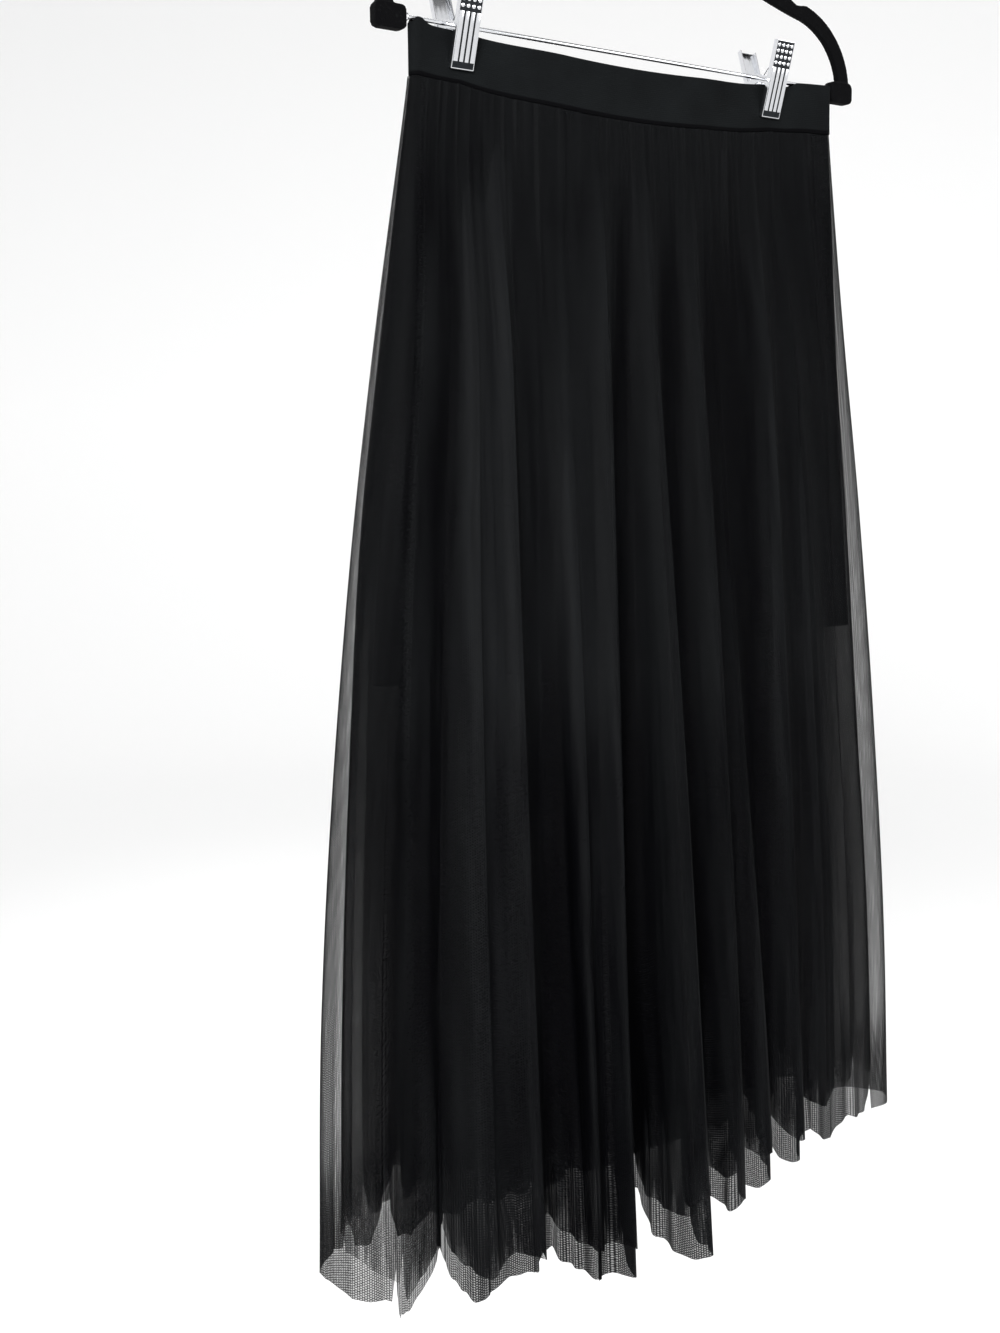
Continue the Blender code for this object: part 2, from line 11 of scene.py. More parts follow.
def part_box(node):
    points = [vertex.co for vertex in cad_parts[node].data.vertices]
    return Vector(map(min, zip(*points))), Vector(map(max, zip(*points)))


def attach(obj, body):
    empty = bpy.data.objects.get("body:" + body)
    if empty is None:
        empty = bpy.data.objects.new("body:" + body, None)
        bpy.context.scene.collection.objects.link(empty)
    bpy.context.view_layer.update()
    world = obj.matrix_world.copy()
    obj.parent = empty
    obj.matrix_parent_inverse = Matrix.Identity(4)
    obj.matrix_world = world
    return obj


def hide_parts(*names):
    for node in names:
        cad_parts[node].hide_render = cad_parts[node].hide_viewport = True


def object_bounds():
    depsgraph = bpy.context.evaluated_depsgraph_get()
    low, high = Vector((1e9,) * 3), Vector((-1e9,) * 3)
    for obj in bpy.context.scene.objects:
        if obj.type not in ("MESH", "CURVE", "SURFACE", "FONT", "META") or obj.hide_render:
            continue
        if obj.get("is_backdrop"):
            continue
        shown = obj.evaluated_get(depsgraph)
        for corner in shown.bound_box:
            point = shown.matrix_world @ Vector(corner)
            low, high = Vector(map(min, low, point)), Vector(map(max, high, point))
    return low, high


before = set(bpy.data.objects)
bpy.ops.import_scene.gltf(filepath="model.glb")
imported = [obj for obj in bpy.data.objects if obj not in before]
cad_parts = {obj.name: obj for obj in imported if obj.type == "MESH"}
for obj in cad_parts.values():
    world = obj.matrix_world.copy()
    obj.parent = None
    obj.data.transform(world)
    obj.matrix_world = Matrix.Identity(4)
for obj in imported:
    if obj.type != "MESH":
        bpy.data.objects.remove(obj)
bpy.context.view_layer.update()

# ---------------------------------------------------------------- waistband
# A strip of black woven elastic, 35 mm tall and 3 mm thick, sewn into a ring. The clips pinch it
# flat in two places, it hangs open and sags a little between them, and its lower edge is turned
# over the gathered net and overlocked.

BAND_THICK = 0.0030
BAND_TALL = 0.0350
BAND_SAG, SEAM_SAG = 0.0085, 0.0030
BAND_END_RISE, BAND_END_REACH = 0.0014, 0.045
BAND_END_RADIUS = 0.0048
BAND_EAR = 0.0034  # how far each face stands up beside the rod at the band's ends
EAR_OFF_MIDDLE, EAR_PAST_CLIP = (0.0020, 0.0034), (0.016, 0.032)  # where it rises, from and to
WAIST_HALF = 0.1980
WAIST_OPEN = 0.0120
GAP = 0.0003
PINCH = BAND_THICK / 2 + GAP
PINCH_FLAT, PINCH_FALL = 0.0140, 0.0700
PINCH_FADE = 0.190
# The seam colour is painted shade: near-black where the band's lower edge overhangs the net.
ELASTIC = {"yarn": "#0f1112", "shade": "#08090a", "seam": "#020203"}
ELASTIC_CORD = 0.0013  # between the rubber cords that run round the band
SEAM_SHADE_LINE = (BAND_TALL - 0.0026, BAND_TALL - 0.0018)  # where the seam's painted shade fades in

clip_x = {}
for word in ("left", "right"):
    low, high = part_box(f"clip_{word}_front")
    clip_x[word] = (low.x + high.x) / 2
band_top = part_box("waistband")[1].z - BAND_END_RISE


def linear(colour):
    """The linear RGBA of an sRGB hex colour."""
    parts = [int(colour[i : i + 2], 16) / 255 for i in (1, 3, 5)]
    return (*[c / 12.92 if c <= 0.04045 else ((c + 0.055) / 1.055) ** 2.4 for c in parts], 1.0)


def add_node(tree, kind, settings=None, inputs=None):
    """A shader node with its settings, and its inputs linked to a socket or set to a value."""
    node = tree.nodes.new("ShaderNode" + kind)
    for name, value in (settings or {}).items():
        setattr(node, name, value)
    for name, value in (inputs or {}).items():
        if isinstance(value, bpy.types.NodeSocket):
            tree.links.new(value, node.inputs[name])
        else:
            node.inputs[name].default_value = value
    return node


def new_material(name):
    """An empty material with its node tree and its output node."""
    made = bpy.data.materials.new(name)
    made.use_nodes = True
    made.node_tree.nodes.clear()
    return made, made.node_tree


def finish_material(tree, settings):
    """The Principled shader and the output that every material ends in."""
    shader = add_node(tree, "BsdfPrincipled", {}, settings)
    add_node(tree, "OutputMaterial", {}, {"Surface": shader.outputs["BSDF"]})


def ease(low, high, value):
    """0 up to low, 1 from high on, and a soft S between them."""
    t = np.clip((np.asarray(value, float) - low) / (high - low), 0.0, 1.0)
    return t * t * (3 - 2 * t)


def clip_grip(x):
    """1 where a clip holds the cloth together, falling to 0 away from it."""
    reach = np.minimum(abs(x - clip_x["left"]), abs(x - clip_x["right"]))
    return 1 - ease(PINCH_FLAT, PINCH_FLAT + PINCH_FALL, reach)


def half_depth(x, open_depth, pinched_depth, drop):
    """How far a layer stands from the middle plane, with the clips' pinch fading down the skirt."""
    grip = clip_grip(x) * (1 - ease(0.0, PINCH_FADE, drop))
    return open_depth + (pinched_depth - open_depth) * grip


def band_sag(x):
    """How far the band's top hangs below its level at the clips; negative beyond them."""
    middle = (clip_x["left"] + clip_x["right"]) / 2
    half = (clip_x["right"] - clip_x["left"]) / 2
    share = abs(x - middle) / half
    beyond = -BAND_END_RISE * ease(0.0, BAND_END_REACH, (share - 1) * half)
    return np.where(share <= 1, BAND_SAG * (1 - share**2), beyond)


def band_bottom(x):
    seam = SEAM_SAG * np.maximum(0.0, 1 - (x / clip_x["left"]) ** 2)
    return band_top - BAND_TALL - band_sag(x) - seam


def outward(ring):
    """The outward plan direction at each point of closed rings."""
    ahead = np.roll(ring, -1, axis=-2) - np.roll(ring, 1, axis=-2)
    normal = np.stack([ahead[..., 1], -ahead[..., 0]], axis=-1)
    return normal / np.linalg.norm(normal, axis=-1, keepdims=True)


def lengths_round(ring):
    """Distance round one closed ring to each of its points, and back to the first."""
    steps = np.linalg.norm(np.roll(ring, -1, axis=0) - ring, axis=1)
    return np.concatenate([[0.0], np.cumsum(steps)])


def tube(name, rows, across, down, material, closed_section=False, values=None):
    """A mesh through closed rings of points, with UVs in metres round the ring and down it, and
    named values at its points."""
    count, columns = rows.shape[:2]
    bands = count if closed_section else count - 1
    r, c = np.meshgrid(np.arange(bands), np.arange(columns), indexing="ij")
    below, beside = (r + 1) % count, (c + 1) % columns
    faces = np.stack(
        [r * columns + c, below * columns + c, below * columns + beside, r * columns + beside], -1
    ).reshape(-1, 4)
    mesh = bpy.data.meshes.new(name)
    mesh.from_pydata(rows.reshape(-1, 3).tolist(), [], faces.tolist())
    u = np.stack([across[c], across[c], across[c + 1], across[c + 1]], -1)
    v = np.stack([down[r], down[r + 1], down[r + 1], down[r]], -1)
    layer = mesh.uv_layers.new(name="cloth")
    layer.data.foreach_set("uv", np.stack([u, v], -1).astype(np.float32).ravel())
    for word, at_points in (values or {}).items():
        stored = mesh.attributes.new(word, "FLOAT", "POINT")
        stored.data.foreach_set("value", at_points.astype(np.float32).ravel())
    mesh.shade_smooth()
    mesh.materials.append(material)
    made = bpy.data.objects.new(name, mesh)
    bpy.context.scene.collection.objects.link(made)
    return made


def hand_over(piece, slot, *nodes):
    """The finished piece stands for its CAD nodes and moves with the object's one body."""
    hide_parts(*nodes)
    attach(piece, "root")


# Woven elastic: matt covered rubber, so it shows almost no gloss, only faint cords along it and
# the nap of its polyester yarn.
elastic, tree = new_material("woven_elastic")
place = add_node(tree, "UVMap", {"uv_map": "cloth"})
split = add_node(tree, "SeparateXYZ", {}, {0: place.outputs["UV"]})
turns = add_node(
    tree, "Math", {"operation": "MULTIPLY"}, {0: split.outputs["Y"], 1: 2 * math.pi / ELASTIC_CORD}
)
cords = add_node(tree, "Math", {"operation": "SINE"}, {0: turns.outputs[0]})
nap = add_node(tree, "TexNoise", {}, {"Vector": place.outputs["UV"], "Scale": 900.0})
wear = add_node(tree, "TexNoise", {}, {"Vector": place.outputs["UV"], "Scale": 24.0})
speck = add_node(
    tree,
    "Math",
    {"operation": "MULTIPLY_ADD"},
    {0: nap.outputs["Fac"], 1: 0.7, 2: wear.outputs["Fac"]},
)
level = add_node(
    tree, "MapRange", {}, {"Value": speck.outputs[0], "From Min": 0.55, "From Max": 1.15}
)
shade = add_node(
    tree,
    "Mix",
    {"data_type": "RGBA"},
    {"Factor": level.outputs[0], "A": linear(ELASTIC["shade"]), "B": linear(ELASTIC["yarn"])},
)
# Painted shade: from about 2 mm above the lower edge, on round the bottom, up the inside and across
# the top, the band takes the near-black seam colour.
seam = add_node(
    tree,
    "MapRange",
    {},
    {"Value": split.outputs["Y"], "From Min": SEAM_SHADE_LINE[0], "From Max": SEAM_SHADE_LINE[1]},
)
edge = add_node(
    tree,
    "Mix",
    {"data_type": "RGBA"},
    {"Factor": seam.outputs[0], "A": shade.outputs["Result"], "B": linear(ELASTIC["seam"])},
)
height = add_node(
    tree,
    "Math",
    {"operation": "MULTIPLY_ADD"},
    {0: cords.outputs[0], 1: 0.25, 2: nap.outputs["Fac"]},
)
relief = add_node(
    tree, "Bump", {}, {"Height": height.outputs[0], "Strength": 0.35, "Distance": 0.00025}
)
finish_material(
    tree,
    {
        "Base Color": edge.outputs["Result"],
        "Roughness": 0.85,
        "Specular IOR Level": 0.04,
        "Normal": relief.outputs["Normal"],
    },
)

flat = WAIST_HALF - BAND_THICK / 2 - BAND_END_RADIUS
front_x = np.linspace(-flat, flat, 420)
turn = np.linspace(0.0, math.pi, 16)[1:-1]
end_depth = half_depth(flat, WAIST_OPEN, PINCH, 0.0)
start_depth = half_depth(-flat, WAIST_OPEN, PINCH, 0.0)
front = np.stack([front_x, -half_depth(front_x, WAIST_OPEN, PINCH, 0.0)], -1)
right_end = np.stack([flat + BAND_END_RADIUS * np.sin(turn), -end_depth * np.cos(turn)], -1)
left_end = np.stack([-flat - BAND_END_RADIUS * np.sin(turn), start_depth * np.cos(turn)], -1)
band_plan = np.concatenate([front, right_end, front[::-1] * [1, -1], left_end])
corner = np.radians(np.linspace(0, 90, 5))
half_thick, rounding = BAND_THICK / 2, 0.0011
face_down = np.linspace(rounding, BAND_TALL - rounding, 12)
top_round = np.stack(
    [half_thick - rounding * (1 - np.sin(corner)), rounding * (1 - np.cos(corner))], -1
)
outer_face = np.stack([half_thick + 0.0 * face_down, face_down], -1)[1:-1]
half_section = np.concatenate([top_round, outer_face, (top_round * [1, -1] + [0, BAND_TALL])[::-1]])
section = np.concatenate([half_section, (half_section * [-1, 1])[::-1]])
normal = outward(band_plan)
round_band = lengths_round(band_plan)
ripple = 0.0004 * np.sin(round_band[:-1] * 61) + 0.0003 * np.sin(round_band[:-1] * 143 + 1.3)
free = 1 - clip_grip(band_plan[:, 0])
rows = []
for out, down in section:
    share = down / BAND_TALL
    away = out + ripple * free * math.sin(math.pi * share)
    plan = band_plan + normal * np.atleast_1d(away)[:, None]
    x = band_plan[:, 0]
    beyond = np.maximum(clip_x["left"] - x, x - clip_x["right"])
    off_middle = abs(band_plan[:, 1])
    lift = BAND_EAR * ease(*EAR_OFF_MIDDLE, off_middle) * ease(*EAR_PAST_CLIP, beyond)
    top, bottom = band_top - band_sag(x) + lift, band_bottom(x)
    rows.append(np.column_stack([plan, top + (bottom - top) * share]))
section_length = lengths_round(section)
waistband = tube("elastic_waistband", np.array(rows), round_band, section_length, elastic, True)
hand_over(waistband, "elastic", "waistband")

# ---------------------------------------------------------------- slip
# A short straight slip of black polyester jersey, cut as a front and a back, sewn into the same
# seam as the net and hanging nearly flat inside it. Its hem is turned up 25 mm and coverstitched.

SLIP_SECTIONS = (  # drop below the band, half width, end radius, half depth
    (0.0003, 0.1956, 0.0028, 0.0083),
    (0.050, 0.2010, 0.0060, 0.0096),
    (0.150, 0.2095, 0.0090, 0.0108),
    (0.280, 0.2210, 0.0105, 0.0118),
    (0.400, 0.2320, 0.0120, 0.0126),
)
SHIFTS = ((0.0, 0.0), (0.1, -0.003), (0.3, -0.004), (0.48, -0.003), (0.838, 0.002))
SLIP_TILT = 0.035
SLIP_HEM = 0.025
SLIP_PINCH = PINCH - 0.0012
SLIP_DROP = SLIP_SECTIONS[-1][0]
SEAM_GROOVE, SEAM_GROOVE_WIDE = 0.0004, 0.0008
TURNED_ROWS, TURNED_IN = 9, 0.0010  # the turned hem's inner side
RIB_SCALE = 50.0  # of the wave that draws the jersey's ribs, 6.3 mm apart
JERSEY = {"face": "#0a0a0b", "loop": "#101112"}


def along(table, drop):
    """The table's columns at the given drops, on a smooth curve through its rows."""
    rows = np.array(table)
    at, values = rows[:, 0], rows[:, 1:]
    slopes = np.gradient(values, at, axis=0)
    i = np.clip(np.searchsorted(at, drop, side="right") - 1, 0, len(at) - 2)
    span = (at[i + 1] - at[i])[:, None]
    t = ((np.asarray(drop) - at[i])[:, None] / span).clip(0, 1)
    start = (1 + 2 * t) * (1 - t) ** 2 * values[i] + t * (1 - t) ** 2 * span * slopes[i]
    end = t**2 * (3 - 2 * t) * values[i + 1] + t**2 * (t - 1) * span * slopes[i + 1]
    return [column[:, None] for column in (start + end).T]


# Polyester jersey: a matt fine-gauge knit. Its columns of loops are 0.5 mm apart and too fine to
# show, so soft ribs 6.3 mm apart stand for them, and the coverstitching is a shallow groove.
jersey, tree = new_material("polyester_jersey")
place = add_node(tree, "UVMap", {"uv_map": "cloth"})
loops = add_node(
    tree,
    "TexWave",
    {"wave_type": "BANDS", "bands_direction": "X", "wave_profile": "SIN"},
    {"Vector": place.outputs["UV"], "Scale": RIB_SCALE, "Distortion": 0.6},
)
cloudy = add_node(tree, "TexNoise", {}, {"Vector": place.outputs["UV"], "Scale": 60.0})
shade = add_node(
    tree,
    "Mix",
    {"data_type": "RGBA"},
    {"Factor": cloudy.outputs["Fac"], "A": linear(JERSEY["face"]), "B": linear(JERSEY["loop"])},
)
relief = add_node(
    tree, "Bump", {}, {"Height": loops.outputs["Fac"], "Strength": 0.3, "Distance": 0.0002}
)
finish_material(
    tree,
    {
        "Base Color": shade.outputs["Result"],
        "Roughness": 0.85,
        "Specular IOR Level": 0.03,
        "Normal": relief.outputs["Normal"],
    },
)

drops = np.concatenate([np.linspace(GAP, 0.376, 40), np.linspace(0.377, SLIP_DROP, 8)])
half_width, end_radius, depth = along(SLIP_SECTIONS, drops)
flat = half_width - end_radius
spread = np.linspace(-1, 1, 260)[None, :]
turn = np.linspace(0.0, math.pi, 16)[None, 1:-1]
x_front = flat * spread
y_front = half_depth(x_front, depth, SLIP_PINCH, drops[:, None]) + GAP
end_depth = y_front[:, -1:]
start_depth = y_front[:, :1]
x = np.hstack(
    [x_front, flat + end_radius * np.sin(turn), x_front[:, ::-1], -flat - end_radius * np.sin(turn)]
)
y = np.hstack([-y_front, -end_depth * np.cos(turn), y_front[:, ::-1], start_depth * np.cos(turn)])
plan = np.stack([x, y], -1)
round_slip = lengths_round(plan[-1])
swing = round_slip[:-1][None, :]
wave = np.sin(swing * 19 + 0.7) + 0.6 * np.sin(swing * 43 + 2.1) + 0.35 * np.sin(swing * 88)
hem_seam = (drops[:, None] - (SLIP_DROP - SLIP_HEM)) / SEAM_GROOVE_WIDE
groove = -SEAM_GROOVE * np.exp(-(hem_seam**2))
plan = plan + outward(plan) * (0.0011 * wave * ease(0.05, 0.4, drops[:, None]) + groove)[..., None]
longer = SLIP_TILT * np.maximum(0.0, -x / half_width) * drops[:, None]
z = band_bottom(x) - drops[:, None] - longer
plan[..., 0] += along(SHIFTS, drops)[0]
outside = np.dstack([plan, z])
inside = outside[-TURNED_ROWS:][::-1].copy()
inside[..., :2] -= outward(inside[..., :2]) * TURNED_IN
rows = np.concatenate([outside, inside])
turned_down = SLIP_DROP + (SLIP_DROP - drops[-TURNED_ROWS:][::-1]) + TURNED_IN / 2
down = np.concatenate([drops, turned_down])
slip = tube("jersey_slip", rows, round_slip, down, jersey)
hand_over(slip, "slip_jersey", "slip_front", "slip_back")

# ---------------------------------------------------------------- outer net
# Two panels of fine nylon net, each about a metre wide at the hem, gathered into the waistband and
# left raw at the hem. The net is too stiff to lie flat, so it stands in long upright folds that
# deepen towards the hem, with many smaller creases between them.

OUTER_SECTIONS = (  # drop below the band, half width, end radius, half depth
    (0.0003, 0.1984, 0.0055, 0.0136),
    (0.050, 0.2050, 0.0095, 0.0180),
    (0.150, 0.2185, 0.0160, 0.0240),
    (0.300, 0.2405, 0.0230, 0.0310),
    (0.480, 0.2620, 0.0300, 0.0370),
    (0.660, 0.2780, 0.0340, 0.0410),
    (0.838, 0.2860, 0.0360, 0.0430),
)
OUTER_HEM = OUTER_SECTIONS[-1][0]
# A ridge, then the valley after it, and so on from -X to +X: its place along X at the waist and at
# the hem, how far out it stands at the hem, and the share of the way down where it starts.
FRONT_FOLDS = (
    (-0.183, -0.246, 0.080, 0.12),
    (-0.167, -0.214, 0.034, 0.12),
    (-0.152, -0.184, 0.092, 0.06),
    (-0.141, -0.166, 0.082, 0.06),
    (-0.129, -0.148, 0.094, 0.02),
    (-0.108, -0.120, 0.048, 0.02),
    (-0.078, -0.095, 0.098, 0.10),
    (-0.062, -0.084, 0.090, 0.08),
    (-0.044, -0.074, 0.110, 0.04),
    (-0.024, -0.040, 0.036, 0.04),
    (-0.005, -0.010, 0.100, 0.04),
    (0.018, 0.028, 0.034, 0.04),
    (0.040, 0.054, 0.078, 0.04),
    (0.050, 0.074, 0.046, 0.40),
    (0.060, 0.094, 0.066, 0.40),
    (0.088, 0.114, 0.022, 0.04),
    (0.118, 0.140, 0.056, 0.03),
    (0.130, 0.164, 0.029, 0.08),
    (0.144, 0.190, 0.044, 0.08),
    (0.158, 0.214, 0.030, 0.08),
    (0.172, 0.240, 0.034, 0.08),
)
BACK_FOLDS = (
    (-0.180, -0.238, 0.058, 0.08),
    (-0.166, -0.216, 0.036, 0.08),
    (-0.150, -0.196, 0.078, 0.04),
    (-0.134, -0.174, 0.046, 0.04),
    (-0.116, -0.150, 0.092, 0.02),
    (-0.100, -0.128, 0.050, 0.06),
    (-0.082, -0.108, 0.074, 0.10),
    (-0.064, -0.084, 0.040, 0.06),
    (-0.046, -0.060, 0.098, 0.02),
    (-0.030, -0.038, 0.060, 0.06),
    (-0.013, -0.016, 0.084, 0.08),
    (0.006, 0.008, 0.042, 0.04),
    (0.024, 0.032, 0.100, 0.04),
    (0.042, 0.056, 0.050, 0.06),
    (0.061, 0.080, 0.080, 0.06),
    (0.078, 0.104, 0.042, 0.06),
    (0.095, 0.128, 0.088, 0.02),
    (0.112, 0.152, 0.040, 0.04),
    (0.130, 0.176, 0.064, 0.08),
    (0.147, 0.200, 0.032, 0.06),
    (0.166, 0.224, 0.046, 0.04),
)
FOLD_GROWTH = 0.80
CROWN = 0.25
RIGHT_FLATTER = 0.35
RIGHT_EASED = 0.65  # how much less the right side is drawn in at the hem than at the hips
LEAN = 0.42  # how far the front folds lean over towards +X, and how steep their sides are
FULLER = 0.38  # how much rounder and wider the ridges are at the hem
# The crest values that follow set the net's painted light and shade, lighter on the folds' tops and
# darker in the valleys; the hem also hangs lower under a crest.
CREST_TALL = 0.055  # a fold this tall at the hem counts as a full crest
CREST_WIDE = 0.38  # under 1 the valleys are narrow and the crests wide
LEVEL_CREST, FOLDS_READ = 0.70, 0.16  # tone of the painted light and shade at the waist, and the share down where folds set it
END_CREST = 0.55  # tone of the painted light and shade at the two side edges
YOUNG_FOLD = 0.12  # share down above which the folds' height is no longer scaled
OUTER_PINCH = PINCH + 0.0018
LOBE = 0.044  # how much lower the hem hangs at a full crest than between two folds
LOBE_LEVEL, LOBE_FULL = 0.70, 0.82  # share of a crest at the hem's own level, and at its lowest
OUTER_OFFSETS = (  # place along X at the front hem, how much lower it hangs, over what width
    (-0.246, 0.012, 0.030),
    (-0.185, 0.010, 0.012),
    (-0.095, 0.006, 0.030),
    (0.054, -0.014, 0.012),
    (0.094, -0.009, 0.014),
    (0.240, -0.003, 0.040),
)
CREASE_SHOWS = 120.0  # share of a crest, in the painted light and shade, for each metre that a crease stands out
COLUMN_STEP = 0.0017  # round the hem, between two columns of the mesh
NET_HOLE = 0.0018  # hole spacing; the real net's is about 1 mm, drawn coarser so that it shows
# Painted light and shade: the net's colour is darker in the folds' valleys and lighter on their
# tops.
NET_LIGHT_AND_SHADE = {"crest": "#101112", "valley": "#010102"}
# How much each adds to a point's tone, and the sums that are the valley's and the crest's colour:
# painted shade in the valleys and painted light on the folds' tops.
NET_TONE = {"strand": 1.7, "grain": 1.0, "hole": -0.10, "unbacked_shade": -0.42}
TONE_VALLEY, TONE_CREST = 1.3, 2.7
UNBACKED = (0.395, 0.50)  # down the net, where the slip behind it ends and the painted shade below it sets in
HALF_STRAND = 0.065  # half of how far the strands' noise shifts the hem's thinning
OUTER_COVER = {"thread": 0.58, "hole": 0.20, "thin_from": 0.740, "thin_to": 0.820, "left": 2.4}

rng = np.random.default_rng(11)


def base_depth(x, drop, open_depth, half_width, pinched, side):
    """Half depth of a net layer without its folds."""
    flatter = RIGHT_FLATTER * ease(0.0, 0.115, x) * drop / OUTER_HEM if side < 0 else 0.0
    crown = 1 - CROWN * (x / half_width) ** 2
    return half_depth(x, open_depth * crown, pinched, drop) * (1 - flatter)


def fold_knots(folds, drops, side):
    """Place along X and height of each ridge and valley, a row for each drop."""
    half_width, end_radius, _ = along(OUTER_SECTIONS, drops)
    waist_width, waist_radius, _ = OUTER_SECTIONS[0][1:]
    hem_width, hem_radius, hem_depth = OUTER_SECTIONS[-1][1:]
    flat, waist_flat = half_width - end_radius, waist_width - waist_radius
    flare = (flat - waist_flat) / (hem_width - hem_radius - waist_flat)
    waist_x, hem_x, hem_out, starts = np.array(folds).T[:, None, :]
    share = drops[:, None] / OUTER_HEM
    grown = np.maximum(0.0, (share - starts) / (1 - starts)) ** FOLD_GROWTH
    hem_base = base_depth(hem_x, OUTER_HEM, hem_depth, hem_width, 0.0, side)
    x = waist_x + (hem_x - waist_x) * flare
    none = np.zeros_like(flat)
    return np.hstack([-flat, x, flat]), np.hstack([none, (hem_out - hem_base) * grown, none])


def half_ring(folds, side, counts, drops, layer):
    """One panel's plan from -X to +X, a row for each drop: the ends, then the folds between."""
    knot_x, knot_height = fold_knots(folds, drops, side)
    lean = LEAN * ease(-0.05, 0.3, drops[:, None] / OUTER_HEM)
    rounder = FULLER * ease(0.3, 1.0, drops[:, None] / OUTER_HEM)
    falling = np.diff(knot_height[-1]) < 0
    across, heights = [], []
    for k, count in enumerate(counts):
        t = np.arange(count)[None, :] / count
        if side > 0:
            eased = t + 1.7 * lean * np.sin(2 * np.pi * t) / (2 * np.pi)
            up = (1 - np.cos(np.pi * t)) / 2
        elif falling[k]:
            eased = t ** (1 + 1.6 * lean)
            up = (1 - np.cos(np.pi * t ** (1 - lean))) / 2
            up = 1 - (1 - up) ** (1 - rounder)
        else:
            eased = t + 0.5 * lean * np.sin(2 * np.pi * t) / (2 * np.pi)
            up = ((1 - np.cos(np.pi * t)) / 2) ** (1 - rounder)
        x0, x1 = knot_x[:, k : k + 1], knot_x[:, k + 1 : k + 2]
        h0, h1 = knot_height[:, k : k + 1], knot_height[:, k + 1 : k + 2]
        across.append(x0 + (x1 - x0) * eased)
        heights.append(h0 + (h1 - h0) * up)
    outer_x = np.hstack([*across, knot_x[:, -1:]])
    height = np.hstack([*heights, knot_height[:, -1:]])
    half_width, end_radius, open_depth = along(layer["sections"], drops)
    outer_width, outer_radius, _ = along(OUTER_SECTIONS, drops)
    flat, outer_flat = half_width - end_radius, outer_width - outer_radius
    leave = ((abs(outer_x) - layer["ease_from"]) / (outer_flat - layer["ease_from"])).clip(0, 1)
    x = outer_x - np.sign(outer_x) * (outer_flat - flat) * leave
    nested = np.where(height > 0, height * layer["fold_share"] * (1 - leave), height)
    drop = drops[:, None]
    base = base_depth(x, drop, open_depth, half_width, layer["pinch"], side)
    turn = np.linspace(0, math.pi / 2, layer["cap_columns"])[None, 1:]
    end_base = base_depth(flat, drop, open_depth, half_width, layer["pinch"], side) + GAP
    start_base = base_depth(-flat, drop, open_depth, half_width, layer["pinch"], side) + GAP
    right = (flat + end_radius * np.sin(turn), end_base * np.cos(turn))
    left = (-flat - end_radius * np.sin(turn[:, ::-1]), start_base * np.cos(turn[:, ::-1]))
    xs = np.hstack([left[0], x, right[0]])
    ys = np.hstack([left[1], base + GAP + nested, right[1]])
    share = np.maximum(drop / OUTER_HEM, YOUNG_FOLD) ** FOLD_GROWTH
    crest = (height / (CREST_TALL * share)).clip(0, 1) ** CREST_WIDE
    crest = LEVEL_CREST + (crest - LEVEL_CREST) * ease(0.0, FOLDS_READ, drop / OUTER_HEM)
    end = np.full((len(drops), turn.shape[1]), END_CREST)
    return np.stack([xs, side * ys, np.hstack([end, crest, end])], -1)


def net_plan(drops, layer):
    """Closed rings of a net layer in plan. The third value is each point's share of a crest, which
    paints light on the folds' tops and shade in their valleys.
    """
    front = half_ring(FRONT_FOLDS, -1, front_counts, drops, layer)
    back = half_ring(BACK_FOLDS, 1, back_counts, drops, layer)
    return np.concatenate([front, back[:, -2:0:-1]], axis=1)


def hem_counts(folds, side):
    """Columns between each two knots, from the length of the fold's side at the hem."""
    x, height = fold_knots(folds, np.array([OUTER_HEM]), side)
    steps = np.hypot(np.diff(x[0]), np.diff(height[0]))
    return np.maximum(6, np.ceil(steps * 1.12 / COLUMN_STEP)).astype(int)


front_counts, back_counts = hem_counts(FRONT_FOLDS, -1), hem_counts(BACK_FOLDS, 1)
outer_layer = {
    "sections": OUTER_SECTIONS,
    "fold_share": 1.0,
    "pinch": OUTER_PINCH,
    "ease_from": 0.0,
    "cap_columns": 16,
    "layers": 1.8,
    "single_from": 0.17,
    "single_to": 0.24,
    "single_shift": 0.0,
    "right_in": 0.0,
    "lower": 0.004,
    "hem_offsets": OUTER_OFFSETS,
}
hem_plan, hem_crest = np.split(net_plan(np.array([OUTER_HEM]), outer_layer)[0], [2], axis=1)
waist_plan = net_plan(np.array([0.0003]), outer_layer)[0, :, :2]
hem_lobes = LOBE * (np.minimum(hem_crest[:, 0], LOBE_FULL) - LOBE_LEVEL)
round_hem = lengths_round(hem_plan)
round_waist = lengths_round(waist_plan)
CREASES = 56
crease_at = rng.uniform(0, round_hem[-1], CREASES)
crease_width = rng.uniform(0.006, 0.020, CREASES)
crease_depth = rng.choice([-1, 1], CREASES, p=[0.5, 0.5]) * rng.uniform(0.001, 0.0045, CREASES)
crease_start = rng.uniform(0.0, 0.6, CREASES)
crease_slant = rng.normal(0, 0.012, CREASES)
SPIKES = 44
spike_at = rng.uniform(0, round_hem[-1], SPIKES)
spike_width = rng.uniform(0.0022, 0.0050, SPIKES)
spike_depth = rng.uniform(0.002, 0.006, SPIKES)
spike_start = rng.uniform(0.70, 0.95, SPIKES)
gather_at = np.cumsum(rng.uniform(0.0055, 0.0105, 130))
gather_at = gather_at[gather_at < round_waist[-1] - 0.004]
gather_depth = rng.uniform(0.0003, 0.0016, len(gather_at))
gather_width = rng.uniform(0.0014, 0.0030, len(gather_at))
gather_fade = rng.uniform(0.030, 0.100, len(gather_at))


def bumps(places, centres, widths, length):
    """A soft ridge at each centre round a closed ring, one row for each ridge."""
    away = places[None, :] - centres[:, None]
    away = (away + length / 2) % length - length / 2
    return np.exp(-((away / widths[:, None]) ** 2))


